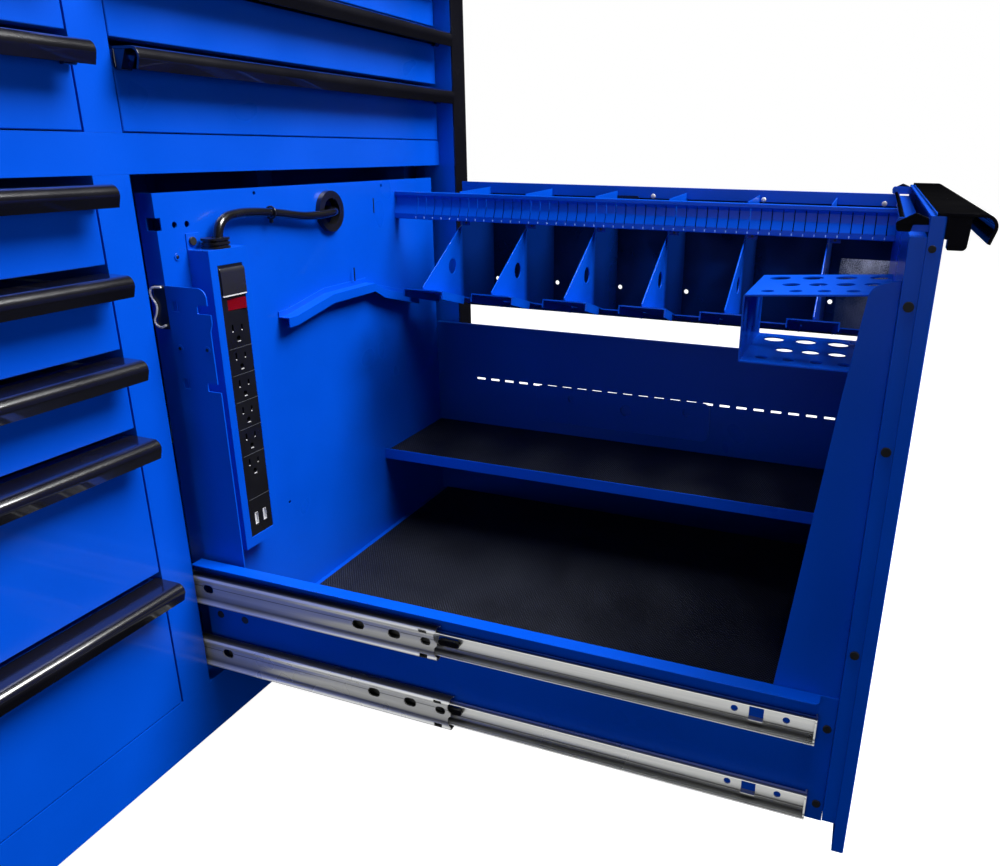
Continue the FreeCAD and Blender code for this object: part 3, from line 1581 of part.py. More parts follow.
def make_latch():
    """A bar behind the head of the front panel, with a hook at each end that lies over its top."""
    y, z = out(s.latchY), s.latchZ
    bar = rod("latch_bar", (s.latchStart, y, z), "x", s.latchEnd - s.latchStart, s.latchRadius)
    hook = [
        (y - 4.5, z - 3.5, Size(1)),
        (y + 4, z - 3.5, Size(2)),
        (y + 5, z + 2, Size(2)),
        (y - 6.5, z + 8.3, Size(2)),
        (y - 14.3, z + 5.3, Size(1)),
        (y - 14.8, z + 1.2, Size(0.5)),
        (y - 5.5, z + 0.8, Size(0.5)),
    ]
    plates = []
    for word, start in (("near", s.latchStart), ("far", s.latchEnd - s.latchHook)):
        plates.append(profile(f"latch_{word}_hook", "YZ", hook, start, start + s.latchHook))
    node("pullout_latch", join("latch_welded", [bar, *plates]))


def check_and_write():
    """Stops on any failed object or bad shape, then writes one file per sub-part."""
    doc.recompute()
    failed = [f"{o.Label}: {o.State}" for o in doc.Objects if {"Invalid", "Error"} & set(o.State)]
    for whole in nodes:
        shape = whole.Shape
        if shape.isNull() or not shape.isValid() or not shape.Solids:
            failed.append(f"{whole.Label}: bad shape")
    if failed:
        print("\n".join(failed))
        sys.exit(1)
    os.makedirs("parts", exist_ok=True)
    for whole in nodes:
        whole.Shape.exportStep(f"parts/{whole.Label}.step")
    print(len(nodes), "sub-parts,", sum(len(whole.Shape.Solids) for whole in nodes), "solids")


make_body()
make_casters()
fixed_members = make_drawers()
make_pullout_slides(fixed_members)
make_pullout_front()
make_tray()
make_rear_panel()
make_side_plate()
make_gusset()
make_rack()
make_bit_holder()
make_hook_arm()
make_power_strip()
make_fasteners()
make_latch()
check_and_write()
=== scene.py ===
import json
import math

import bmesh
import bpy
from mathutils import Matrix, Vector

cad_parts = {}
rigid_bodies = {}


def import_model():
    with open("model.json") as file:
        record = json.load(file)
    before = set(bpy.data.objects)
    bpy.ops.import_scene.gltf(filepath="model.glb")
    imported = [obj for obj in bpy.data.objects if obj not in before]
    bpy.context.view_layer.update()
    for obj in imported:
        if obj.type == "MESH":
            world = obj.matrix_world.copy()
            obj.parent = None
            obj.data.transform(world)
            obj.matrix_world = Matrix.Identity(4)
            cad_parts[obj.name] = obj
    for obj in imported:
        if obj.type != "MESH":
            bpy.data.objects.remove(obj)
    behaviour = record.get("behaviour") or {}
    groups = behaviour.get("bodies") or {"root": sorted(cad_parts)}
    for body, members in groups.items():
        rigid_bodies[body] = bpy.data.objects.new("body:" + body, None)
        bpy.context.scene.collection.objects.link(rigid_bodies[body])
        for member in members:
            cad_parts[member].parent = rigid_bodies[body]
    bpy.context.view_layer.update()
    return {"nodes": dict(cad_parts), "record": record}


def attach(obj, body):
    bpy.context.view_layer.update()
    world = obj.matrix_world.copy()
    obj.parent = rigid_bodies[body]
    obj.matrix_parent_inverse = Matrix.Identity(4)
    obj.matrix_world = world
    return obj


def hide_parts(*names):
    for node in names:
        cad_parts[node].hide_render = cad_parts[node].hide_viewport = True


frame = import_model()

# Metres. X is the width, the drawers open along -Y and Z is up.
nodes = frame["nodes"]
bodyOf = {node: body for body, members in frame["record"]["behaviour"]["bodies"].items() for node in members}
slotOf = {entry["node"]: entry["material_slot"] for entry in frame["record"]["subparts"]}
travel = 0.653  # the pull-out stands this far out


slides = {
    "levels": (0.3383, 0.2628), "mirror": 0.5908, "sheet": 0.0012, "lowerLead": 0.0114,
    "inner": (0.034 - travel, 0.634 - travel), "middle": (0.0474 - travel / 2, 0.634 - travel / 2),
    "middleHalf": 0.018, "innerHalf": 0.0128, "middleBend": 0.0018, "innerBend": 0.0014,
    "middleWeb": 0.0225, "innerWeb": 0.0329, "mouthX": 0.026, "mouthOut": 0.0032, "mouthRadius": 0.0068,
    "mouthRise": 0.0075, "stopX": (0.0238, 0.0322), "stopY": (0.0002, 0.0016), "stopHalf": 0.0122,
    "tabX": (0.0288, 0.0322), "tabY": (-0.577, -0.565), "tabZ": (-0.0062, -0.005),
    "cageX": (0.0247, 0.0289), "cageRise": 0.015, "cageLength": 0.07, "cageHalf": 0.0005,
    "leverX": 0.0298, "leverY": -0.2885,
}


class Socket:
    # wraps a value socket so that shader maths reads as plain expressions
    def __init__(self, tree, link):
        self.tree = tree
        self.link = link

    def math(self, operation, first, second=None):
        node = self.tree.nodes.new("ShaderNodeMath")
        node.operation = operation
        for place, value in enumerate((first, second)):
            if isinstance(value, Socket):
                self.tree.links.new(value.link, node.inputs[place])
            elif value is not None:
                node.inputs[place].default_value = value
        return Socket(self.tree, node.outputs[0])

    def __add__(self, other):
        return self.math("ADD", self, other)

    def __sub__(self, other):
        return self.math("SUBTRACT", self, other)

    def __mul__(self, other):
        return self.math("MULTIPLY", self, other)

    def power(self, exponent):
        return self.math("POWER", self, exponent)

    def above(self, limit):
        return self.math("GREATER_THAN", self, limit)

    def below(self, limit):
        return self.math("LESS_THAN", self, limit)

    def sine(self):
        return self.math("SINE", self)


class Finish:
    def __init__(self, name, **fixed):
        self.material = bpy.data.materials.new(name)
        self.material.use_nodes = True
        self.tree = self.material.node_tree
        self.shader = self.tree.nodes["Principled BSDF"]
        for socketName, value in fixed.items():
            self.shader.inputs[socketName.replace("_", " ")].default_value = value
        self.object = self.tree.nodes.new("ShaderNodeTexCoord").outputs["Object"]

    def node(self, kind, settings, **inputs):
        made = self.tree.nodes.new(kind)
        for setting, value in settings.items():
            if setting == "stops":
                ramp = made.color_ramp
                while len(ramp.elements) < len(value):
                    ramp.elements.new(0.5)
                for element, (position, colour) in zip(ramp.elements, value):
                    element.position = position
                    element.color = (*colour, 1)
            else:
                setattr(made, setting, value)
        for socketName, value in inputs.items():
            socket = made.inputs[socketName.replace("_", " ")]
            if isinstance(value, Socket):
                self.tree.links.new(value.link, socket)
            elif isinstance(value, bpy.types.NodeSocket):
                self.tree.links.new(value, socket)
            else:
                socket.default_value = value
        return made

    def noise(self, scale, detail=3, roughness=0.5, stretch=(1, 1, 1)):
        mapped = self.node("ShaderNodeMapping", {}, Vector=self.object, Scale=stretch)
        made = self.node(
            "ShaderNodeTexNoise", {}, Vector=mapped.outputs[0],
            Scale=scale, Detail=detail, Roughness=roughness,
        )
        return Socket(self.tree, made.outputs["Fac"])

    def axis(self, name):
        split = self.node("ShaderNodeSeparateXYZ", {}, Vector=self.object)
        return Socket(self.tree, split.outputs[name])

    def spread(self, value, low, high, bottom=0.0, top=1.0):
        made = self.node(
            "ShaderNodeMapRange", {}, Value=value, From_Min=low, From_Max=high, To_Min=bottom, To_Max=top
        )
        return Socket(self.tree, made.outputs[0])

    def blend(self, factor, first, second, way="MIX"):
        made = self.tree.nodes.new("ShaderNodeMix")
        made.data_type = "RGBA"
        made.blend_type = way
        if isinstance(factor, Socket):
            self.tree.links.new(factor.link, made.inputs["Factor"])
        else:
            made.inputs["Factor"].default_value = factor
        for place, colour in ((6, first), (7, second)):
            if isinstance(colour, bpy.types.NodeSocket):
                self.tree.links.new(colour, made.inputs[place])
            else:
                made.inputs[place].default_value = (*colour, 1)
        return made.outputs[2]

    def colour(self, link):
        self.tree.links.new(link, self.shader.inputs["Base Color"])

    def drive(self, socketName, value):
        self.tree.links.new(value.link, self.shader.inputs[socketName])

    def bump(self, height, strength, distance):
        made = self.node("ShaderNodeBump", {}, Height=height, Strength=strength, Distance=distance)
        self.tree.links.new(made.outputs[0], self.shader.inputs["Normal"])


def bluePaintFinish(name, light, dark, roughness):
    finish = Finish(name, Coat_Weight=0.2, Coat_Roughness=0.06, IOR=1.35)
    cloud = finish.noise(9, 2)
    finish.colour(finish.blend(finish.spread(cloud, 0.35, 0.65), dark, light))
    orangePeel = finish.noise(420, 2, 0.4)
    broad = finish.noise(60, 2, 0.4)
    finish.drive("Roughness", finish.spread(cloud, 0.3, 0.7, roughness - 0.03, roughness + 0.04))
    finish.bump(orangePeel + broad * 1.5, 0.12, 0.0004)
    return finish.material


def shadedPaintFinish(name, start, end, dim):
    # the same paint, falling into the shade of the bay across X
    finish = Finish(name, Coat_Weight=0.2, Coat_Roughness=0.06, IOR=1.35)
    cloud = finish.noise(9, 2)
    lit = finish.blend(finish.spread(cloud, 0.35, 0.65), (0.0, 0.061, 0.51), (0.0, 0.068, 0.56))
    deep = finish.blend(cloud, (0.0, 0.058 * dim, 0.5 * dim), (0.0, 0.066 * dim, 0.56 * dim))
    shade = finish.spread(finish.axis("X"), start, end) * finish.axis("Z").below(0.694)
    finish.colour(finish.blend(shade, lit, deep))
    finish.drive("Roughness", finish.spread(cloud, 0.3, 0.7, 0.27, 0.34))
    finish.bump(finish.noise(420, 2, 0.4), 0.12, 0.0004)
    return finish.material


def blackGlossFinish():
    finish = Finish("blackGloss", Coat_Weight=1.0, Coat_Roughness=0.04, IOR=1.5)
    cloud = finish.noise(14, 2)
    finish.colour(finish.blend(cloud, (0.003, 0.003, 0.005), (0.006, 0.006, 0.009)))
    finish.drive("Roughness", finish.spread(cloud, 0.3, 0.7, 0.2, 0.28))
    finish.bump(finish.noise(300, 2, 0.4), 0.06, 0.0003)
    return finish.material


def zincFinish(name, dark, light, roughness, metallic=0.3):
    finish = Finish(name, Metallic=metallic)
    drawn = finish.noise(90, 4, 0.6, (6, 0.25, 6))
    patches = finish.noise(16, 4, 0.65)
    finish.colour(finish.blend(finish.spread(drawn * 0.5 + patches * 0.6, 0.35, 0.75), dark, light))
    finish.drive("Roughness", finish.spread(patches, 0.3, 0.7, roughness - 0.07, roughness + 0.08))
    finish.bump(drawn, 0.25, 0.0003)
    return finish.material


def litBandsZincFinish(name, bands, halfHeight, metallic):
    # sheet rolled into a slide member: painted highlights on its lips and painted shade in its grooves and on
    # its web, in lengthwise bands
    finish = Finish(name, Metallic=metallic)
    height = finish.axis("Z")
    upper, lower = slides["levels"]
    offset = height - lower - height.above((upper + lower) / 2) * (upper - lower)
    place = finish.spread(offset, -halfHeight, halfHeight)
    stops = [(at, (grey, grey, grey * 0.97)) for at, grey in bands]
    ramp = finish.node("ShaderNodeValToRGB", {"stops": stops}, Fac=place)
    drawn = finish.noise(70, 4, 0.6, (5, 0.15, 5))
    patches = finish.noise(10, 3, 0.5)
    wear = finish.spread(drawn * 0.6 + patches * 0.4, 0.3, 0.7)
    worn = finish.blend(wear, (0.72, 0.74, 0.76), (1.0, 1.0, 1.0))
    finish.colour(finish.blend(1, ramp.outputs[0], worn, "MULTIPLY"))
    finish.drive("Roughness", finish.spread(patches, 0.3, 0.7, 0.24, 0.36))
    finish.bump(drawn, 0.12, 0.0002)
    return finish.material


def rackPlateFinish():
    # dark gloss, with a painted reflection: a grey speckled patch at the front end, fading out downwards
    finish = Finish("rackPlate", Coat_Weight=0.4, Coat_Roughness=0.1)
    speckle = finish.noise(900, 2, 0.6)
    cloud = finish.noise(22, 3)
    # painted reflection, on both faces of the plate
    reflectionPatch = finish.axis("Y").below(-0.5745) * finish.axis("Z").below(0.6475)
    mottle = finish.spread(speckle * 0.5 + cloud * 0.5, 0.46, 0.6)
    reflectionFade = finish.spread(finish.axis("Z"), 0.6, 0.646, 0.15, 1.0)
    mottledReflection = finish.blend(mottle * reflectionFade, (0.015, 0.025, 0.05), (0.8, 0.84, 0.88))
    gloss = finish.blend(finish.spread(cloud, 0.35, 0.65), (0.0, 0.0008, 0.012), (0.0, 0.003, 0.03))
    finish.colour(finish.blend(reflectionPatch, gloss, mottledReflection))
    finish.drive("Roughness", finish.spread(cloud, 0.3, 0.7, 0.25, 0.4))
    return finish.material


# painted highlights and painted shade across a member's height, bottom to top: (place, grey)
middleLitBands = [
    (0.0, 0.08), (0.05, 0.3), (0.1, 0.95), (0.17, 0.6), (0.23, 0.16), (0.3, 0.28), (0.45, 0.42), (0.61, 0.45),
    (0.628, 0.1), (0.645, 0.45), (0.83, 0.5), (0.88, 1.0), (0.93, 1.0), (0.955, 0.16), (1.0, 0.03),
]
drawerLitBands = [
    (0.0, 0.5), (0.05, 1.0), (0.09, 0.3), (0.12, 0.12), (0.17, 0.9), (0.24, 0.12), (0.3, 0.68), (0.6, 0.72),
    (0.84, 0.78), (0.885, 0.3), (0.92, 1.0), (0.965, 1.0), (1.0, 0.2),
]


def plasticFinish(name, dark, light, roughness, grain, coat=0.0):
    finish = Finish(name, IOR=1.46, Coat_Weight=coat, Coat_Roughness=0.06)
    cloud = finish.noise(30, 3)
    finish.colour(finish.blend(cloud, dark, light))
    finish.drive("Roughness", finish.spread(cloud, 0.3, 0.7, roughness - 0.05, roughness + 0.05))
    finish.bump(finish.noise(1500, 2), grain, 0.0002)
    return finish.material


def ribbedMatFinish():
    finish = Finish("ribbedMat", IOR=1.3)
    across = finish.axis("X") * (2 * math.pi / 0.0046)
    along = finish.axis("Y") * (2 * math.pi / 0.0034)
    studs = across.sine() * along.sine() * 0.5 + 0.5
    patches = finish.noise(12, 4, 0.6)
    knots = finish.spread(studs.power(5) * patches, 0.12, 0.42)
    ground = finish.blend(patches, (0.0014, 0.0016, 0.003), (0.006, 0.007, 0.012))
    finish.colour(finish.blend(knots, ground, (0.05, 0.06, 0.085)))
    finish.drive("Roughness", finish.spread(patches, 0.3, 0.7, 0.45, 0.6))
    finish.bump(studs, 0.8, 0.0009)
    return finish.material


def tyreFinish():
    finish = Finish("tyreRubber", IOR=1.5)
    dust = finish.noise(20, 5, 0.65)
    finish.colour(finish.blend(dust, (0.012, 0.012, 0.013), (0.035, 0.034, 0.033)))
    finish.drive("Roughness", finish.spread(dust, 0.3, 0.7, 0.5, 0.7))
    finish.bump(finish.noise(800, 2), 0.2, 0.0003)
    return finish.material


finishes = {
    "blue_paint": bluePaintFinish("bluePaint", (0.0, 0.068, 0.56), (0.0, 0.061, 0.51), 0.3),
    "black_paint": blackGlossFinish(),
    "zinc_steel": zincFinish("zincSteel", (0.6, 0.62, 0.66), (0.98, 0.98, 1.0), 0.32),
    "black_plastic": plasticFinish(
        "blackPlastic", (0.004, 0.004, 0.006), (0.009, 0.009, 0.011), 0.3, 0.06, 0.5
    ),
    "rocker_plastic": plasticFinish("rockerRed", (0.12, 0.001, 0.003), (0.19, 0.002, 0.005), 0.22, 0.03, 0.6),
    "cord_rubber": plasticFinish(
        "cordJacket", (0.003, 0.003, 0.005), (0.007, 0.007, 0.009), 0.24, 0.03, 0.8
    ),
    "ribbed_rubber": ribbedMatFinish(),
    "tyre_rubber": tyreFinish(),
    "socket_plastic": plasticFinish(
        "socketPlastic", (0.012, 0.012, 0.018), (0.02, 0.02, 0.027), 0.3, 0.04, 0.5
    ),
    "screw_black": plasticFinish("blackScrew", (0.01, 0.01, 0.011), (0.03, 0.03, 0.03), 0.35, 0.1),
    "pale_metal": zincFinish("paleMetal", (0.62, 0.62, 0.63), (0.9, 0.9, 0.91), 0.25, 0.3),
    # slide members: zinc with painted bands of highlight and shade
    "middle_member": litBandsZincFinish("middleMember", middleLitBands, slides["middleHalf"], 0.6),
    "drawer_member": litBandsZincFinish("drawerMember", drawerLitBands, slides["innerHalf"], 0.85),
    "rack_plate": rackPlateFinish(),
    # painted shade: the dividers darken from X 0.449 to 0.462, the tray from X 0.4 to 0.52, both only below Z
    # 0.694
    "divider_shaded_paint": shadedPaintFinish("dividerShadedPaint", 0.449, 0.462, 0.2),
    "tray_shaded_paint": shadedPaintFinish("trayShadedPaint", 0.4, 0.52, 0.55),
    # painted highlight: a brighter blue for a lit edge
    "painted_edge_highlight": bluePaintFinish("paintedEdgeHighlight", (0.01, 0.2, 0.86), (0.005, 0.16, 0.8), 0.3),
    # painted highlight: a pale blue for glints
    "painted_glint": bluePaintFinish("paintedGlint", (0.3, 0.5, 0.95), (0.18, 0.38, 0.9), 0.3),
    "separator_grey": plasticFinish("separatorGrey", (0.05, 0.055, 0.065), (0.08, 0.085, 0.1), 0.4, 0.05),
}
print("finishes made")


def deselectAll():
    if bpy.context.object and bpy.context.object.mode != "OBJECT":
        bpy.ops.object.mode_set(mode="OBJECT")
    bpy.ops.object.select_all(action="DESELECT")


def makeActive(piece):
    deselectAll()
    piece.select_set(True)
    bpy.context.view_layer.objects.active = piece


def paint(piece, finish):
    piece.data.materials.clear()
    piece.data.materials.append(finishes[finish])


def applyModifier(piece, kind, **settings):
    makeActive(piece)
    modifier = piece.modifiers.new(kind.lower(), kind)
    for setting, value in settings.items():
        setattr(modifier, setting, value)
    bpy.ops.object.modifier_apply(modifier=modifier.name)


def smooth(piece, angle=35):
    makeActive(piece)
    bpy.ops.object.shade_smooth_by_angle(angle=math.radians(angle))


def roundEdges(piece, width, segments=2, angle=40):
    applyModifier(
        piece, "BEVEL", width=width, segments=segments, limit_method="ANGLE",
        angle_limit=math.radians(angle), harden_normals=False, use_clamp_overlap=True,
    )
    smooth(piece)
    applyModifier(piece, "WEIGHTED_NORMAL", keep_sharp=True, weight=80)


def selectFaces(piece, test):
    makeActive(piece)
    bpy.ops.object.mode_set(mode="EDIT")
    bpy.ops.mesh.select_mode(type="FACE")
    bpy.ops.mesh.select_all(action="DESELECT")
    mesh = bmesh.from_edit_mesh(piece.data)
    for face in mesh.faces:
        face.select_set(test(face))
    bmesh.update_edit_mesh(piece.data)


def endEdit():
    bpy.ops.object.mode_set(mode="OBJECT")


def copyNode(nodeName):
    # a merged copy of a CAD piece, ready to be finished
    makeActive(nodes[nodeName])
    bpy.ops.object.duplicate()
    piece = bpy.context.object
    piece.name = "shown_" + nodeName
    if piece.data.has_custom_normals:
        bpy.ops.mesh.customdata_custom_splitnormals_clear()
    bpy.ops.object.mode_set(mode="EDIT")
    bpy.ops.mesh.select_all(action="SELECT")
    bpy.ops.mesh.remove_doubles(threshold=0.000005)
    bpy.ops.mesh.dissolve_limited(angle_limit=math.radians(0.6))
    bpy.ops.object.mode_set(mode="OBJECT")
    return piece


def dress(nodeName, width, segments=2, angle=40, finish=None):
    piece = copyNode(nodeName)
    roundEdges(piece, width, segments, angle)
    paint(piece, finish or slotOf[nodeName])
    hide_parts(nodeName)
    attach(piece, bodyOf[nodeName])
    return piece


def add(piece, name, body, slot, finish=None):
    # a finished extra piece: its place goes into its mesh, then it rides on a body
    makeActive(piece)
    bpy.ops.object.transform_apply(location=True, rotation=True, scale=True)
    piece.name = name
    paint(piece, finish or slot)
    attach(piece, body)
    return piece


def boxAt(low, high):
    deselectAll()
    centre = [(a + b) / 2 for a, b in zip(low, high)]
    size = [b - a for a, b in zip(low, high)]
    bpy.ops.mesh.primitive_cube_add(size=1, location=centre, scale=size)
    piece = bpy.context.object
    bpy.ops.object.transform_apply(location=True, rotation=True, scale=True)
    return piece


turns = {"x": (0, math.pi / 2, 0), "y": (math.pi / 2, 0, 0), "z": (0, 0, 0)}


def rodAt(centre, axis, radius, length, sides=24):
    deselectAll()
    bpy.ops.mesh.primitive_cylinder_add(
        vertices=sides, radius=radius, depth=length, location=centre, rotation=turns[axis]
    )
    piece = bpy.context.object
    bpy.ops.object.transform_apply(location=True, rotation=True, scale=True)
    return piece


def merge(pieces):
    deselectAll()
    for piece in pieces:
        piece.select_set(True)
    bpy.context.view_layer.objects.active = pieces[0]
    bpy.ops.object.join()
    return bpy.context.object


def punch(piece, cutters):
    cutter = merge(cutters)
    applyModifier(piece, "BOOLEAN", operation="DIFFERENCE", solver="EXACT", object=cutter, use_self=True)
    bpy.data.objects.remove(cutter)


def paintWhere(piece, finish, test):
    # a second finish on the faces whose centre passes the test
    piece.data.materials.append(finishes[finish])
    last = len(piece.data.materials) - 1
    for polygon in piece.data.polygons:
        if test(polygon.center):
            polygon.material_index = last


def wireAlong(points, radius, turn=4):
    # a bent round wire through points, made a mesh
    deselectAll()
    curve = bpy.data.curves.new("wire", "CURVE")
    curve.dimensions = "3D"
    curve.bevel_depth = radius
    curve.bevel_resolution = 3
    curve.resolution_u = turn
    curve.use_fill_caps = True
    spline = curve.splines.new("BEZIER")
    spline.bezier_points.add(len(points) - 1)
    for knot, point in zip(spline.bezier_points, points):
        knot.co = point
        knot.handle_left_type = knot.handle_right_type = "AUTO"
    wire = bpy.data.objects.new("wire", curve)
    bpy.context.scene.collection.objects.link(wire)
    makeActive(wire)
    bpy.ops.object.convert(target="MESH")
    smooth(bpy.context.object, 50)
    return bpy.context.object


def outY(y):
    return y / 1000 - travel


view = {"place": (-0.5488, -0.6135, 0.7751), "turn": 20.04, "pitch": 19.78, "roll": 0.8}


def makeCamera():
    heading, dip, roll = (math.radians(view[key]) for key in ("turn", "pitch", "roll"))
    look = Vector((math.cos(heading) * math.cos(dip), math.sin(heading) * math.cos(dip), -math.sin(dip)))
    level = look.cross(Vector((0, 0, 1))).normalized()
    upright = level.cross(look)
    right = level * math.cos(roll) + upright * math.sin(roll)
    up = upright * math.cos(roll) - level * math.sin(roll)
    camera = bpy.data.objects.new("camera", bpy.data.cameras.new("camera"))
    bpy.context.scene.collection.objects.link(camera)
    turned = Matrix((right, up, -look)).transposed().to_4x4()
    camera.matrix_world = Matrix.Translation(view["place"]) @ turned
    camera.data.sensor_width = 36
    camera.data.lens = 29.49
    camera.data.shift_x = -0.0669
    camera.data.shift_y = 0.0088
    camera.data.clip_start = 0.02
    bpy.context.scene.camera = camera


studio = {
    "floorGlow": 1.0, "key": (0.75, -1.75, 2.9), "keyAim": (0.2, -0.25, 0.45),
    "keySize": 1.5, "keyPower": 195,
    "glow": (-0.7, -0.35, 0.02), "glowSize": (1.9, 2.4), "glowPower": 12,
    "tubes": (("tubeHigh", (-0.3, -1.7, 2.4), 9), ("tubeLow", (-0.5, -2.4, 1.0), 5)),
    "tubeAim": (-0.3, 0, 0.6), "tubeSize": (2.6, 0.09),
    "fills": (
        ("leftFill", (-2.6, -0.3, 1.1), (0, -0.2, 0.5), 1.8, 18),
        ("topFill", (-0.25, -0.5, 3.0), (0.1, -0.3, 0.4), 0.8, 34),
        ("frontFill", (-0.3, -3.0, 0.55), (-0.1, 0, 0.5), 1.6, 24),
        ("rightFill", (2.8, -0.2, 1.4), (0, 0, 0.5), 1.8, 26),
        ("rearFill", (0.2, 3.0, 1.6), (0, 0.3, 0.5), 1.8, 34),
    ),
}


def makeStage():
    deselectAll()
    bpy.ops.mesh.primitive_plane_add(size=30, location=(0, 0, 0))
    floor = bpy.context.object
    floor.name = "floor"
    finish = Finish("paleFloor", IOR=1.4, Emission_Color=(1, 1, 1, 1), Emission_Strength=studio["floorGlow"])
    patches = finish.noise(2, 3)
    finish.colour(finish.blend(patches, (0.3, 0.3, 0.3), (0.33, 0.33, 0.33)))
    finish.drive("Roughness", finish.spread(patches, 0.3, 0.7, 0.8, 0.9))
    floor.data.materials.append(finish.material)
    floor.visible_glossy = False  # the room behind the camera is dark
    floor.visible_diffuse = False
    world = bpy.data.worlds.new("studio")
    world.use_nodes = True
    world.node_tree.nodes["Background"].inputs[0].default_value = (1, 1, 1, 1)
    world.node_tree.nodes["Background"].inputs[1].default_value = 1.0
    world.cycles_visibility.diffuse = False
    world.cycles_visibility.glossy = False
    bpy.context.scene.world = world
    bpy.context.scene.view_settings.view_transform = "Standard"


def makeLight(name, place, target, size, energy):
    light = bpy.data.objects.new(name, bpy.data.lights.new(name, "AREA"))
    bpy.context.scene.collection.objects.link(light)
    light.location = place
    light.rotation_euler = (Vector(target) - Vector(place)).to_track_quat("-Z", "Y").to_euler()
    if isinstance(size, tuple):
        light.data.shape = "RECTANGLE"
        light.data.size, light.data.size_y = size
    else:
        light.data.size = size
    light.data.energy = energy
    return light


makeCamera()
makeStage()
makeLight("key", studio["key"], studio["keyAim"], studio["keySize"], studio["keyPower"])
for fill in studio["fills"]:
    makeLight(*fill).visible_glossy = False
print("camera and light set")


edges = {"sheet": 0.0005, "post": 0.0012, "pull": 0.0003, "rolled": 0.0003, "fine": 0.0002, "finest": 0.0001}

for nodeName in nodes:
    nodes[nodeName].data.materials.clear()
    nodes[nodeName].data.materials.append(finishes[slotOf[nodeName]])

for nodeName in ("face_frame", "side_panels", "worktop", "corner_trims"):
    dress(nodeName, edges["post"])
for nodeName in nodes:
    if "_drawer_" in nodeName and bodyOf[nodeName] == nodeName:
        dress(nodeName, edges["sheet"])
    elif "_pull" in nodeName or nodeName == "pullout_pull":
        dress(nodeName, edges["pull"])
for nodeName in (
    "pullout_front", "pullout_rear_panel", "rear_side_plate", "front_gusset", "mid_shelf", "rack_shelf",
    "bit_holder", "hook_arm", "strip_housing", "strip_insert", "rocker_switch", "cord_fittings",
    "pullout_latch",
):
    dress(nodeName, edges["sheet"])
# the tray and the dividers get painted shade across X, the rack's back plate a painted reflection
for nodeName, finish in (
    ("pullout_tray", "tray_shaded_paint"), ("rack_dividers", "divider_shaded_paint"), ("rack_back_plate", "rack_plate"),
):
    dress(nodeName, edges["sheet"], finish=finish)


fasteners = {"clipX": (0.03, 0.045), "clipZ": (0.6, 0.66), "frontY": -0.6, "earX": 0.07}


def dressFasteners():
    # dark screws, painted rivets; the moulded clip gives way to a bent wire one
    piece = dress("pullout_fasteners", edges["fine"], 1)
    lowX, highX = fasteners["clipX"]
    lowZ, highZ = fasteners["clipZ"]

    def onClip(face):
        centre = face.calc_center_median()
        return lowX < centre.x < highX and lowZ < centre.z < highZ

    def onRivet(centre):
        return centre.y > fasteners["frontY"] and centre.x < fasteners["earX"]

    selectFaces(piece, onClip)
    bpy.ops.mesh.delete(type="FACE")
    endEdit()
    paintWhere(piece, "screw_black", lambda centre: not onRivet(centre))
    paintWhere(piece, "blue_paint", onRivet)


dressFasteners()
print("sheet metal dressed")


def drawOut(outline, plane, start, end):
    # a closed outline in a plane, as a solid bar between two places along the plane's normal
    deselectAll()
    bpy.ops.mesh.primitive_circle_add(vertices=len(outline), radius=1, fill_type="NOTHING")
    piece = bpy.context.object
    for vertex, (u, v) in zip(piece.data.vertices, outline):
        vertex.co = {"XZ": (u, start, v), "YZ": (start, u, v)}[plane]
    along = {"XZ": (0, end - start, 0), "YZ": (end - start, 0, 0)}[plane]
    bpy.ops.object.mode_set(mode="EDIT")
    bpy.ops.mesh.select_all(action="SELECT")
    bpy.ops.mesh.edge_face_add()
    bpy.ops.mesh.extrude_region_move(TRANSFORM_OT_translate={"value": along})
    bpy.ops.mesh.select_all(action="SELECT")
    bpy.ops.mesh.normals_make_consistent(inside=False)
    bpy.ops.object.mode_set(mode="OBJECT")
    return piece


def softened(points, radius, steps=4):
    # rounds the inner corners of an open line of points
    line = [Vector(points[0])]
    for before, corner, after in zip(points, points[1:], points[2:]):
        before, corner, after = Vector(before), Vector(corner), Vector(after)
        reach = min(radius, (corner - before).length * 0.45, (after - corner).length * 0.45)
        first = corner + (before - corner).normalized() * reach
        last = corner + (after - corner).normalized() * reach
        for i in range(steps + 1):
            t = i / steps
            line.append(first * (1 - t) ** 2 + corner * 2 * t * (1 - t) + last * t * t)
    line.append(Vector(points[-1]))
    return line


def sheetOutline(line, thickness):
    # an open line given the thickness of a sheet, to its left
    inner = []
    for i, point in enumerate(line):
        before = line[max(i - 1, 0)]
        after = line[min(i + 1, len(line) - 1)]
        way = (after - before).normalized()
        inner.append(point + Vector((-way.y, way.x)) * thickness)
    return [tuple(p) for p in line] + [tuple(p) for p in reversed(inner)]


middleSection = [
    (31.6, 15.4), (29.0, 17.5), (25.0, 18.0), (21.2, 16.6), (21.2, 11.6), (23.6, 9.2), (23.0, 4.6),
    (22.6, 0.0), (23.0, -4.6), (23.6, -9.2), (21.2, -11.6), (21.2, -16.6), (25.0, -18.0), (29.0, -17.5),
    (31.6, -15.4),
]
innerSection = [
    (24.3, -11.2), (23.9, -12.5), (26.5, -12.8), (28.5, -11.3), (31.0, -11.0), (33.5, -8.2),
    (33.5, 8.2), (31.0, 11.0), (28.5, 11.3), (26.5, 12.8), (23.9, 12.5), (24.3, 11.2),
]


def across(x, far):
    # the far wall's slides mirror the near wall's
    return slides["mirror"] - x if far else x


def memberOutline(section, softness, level, far):
    line = softened([(u / 1000, level + v / 1000) for u, v in section], softness)
    return [(across(u, far), v) for u, v in sheetOutline(line, slides["sheet"])]


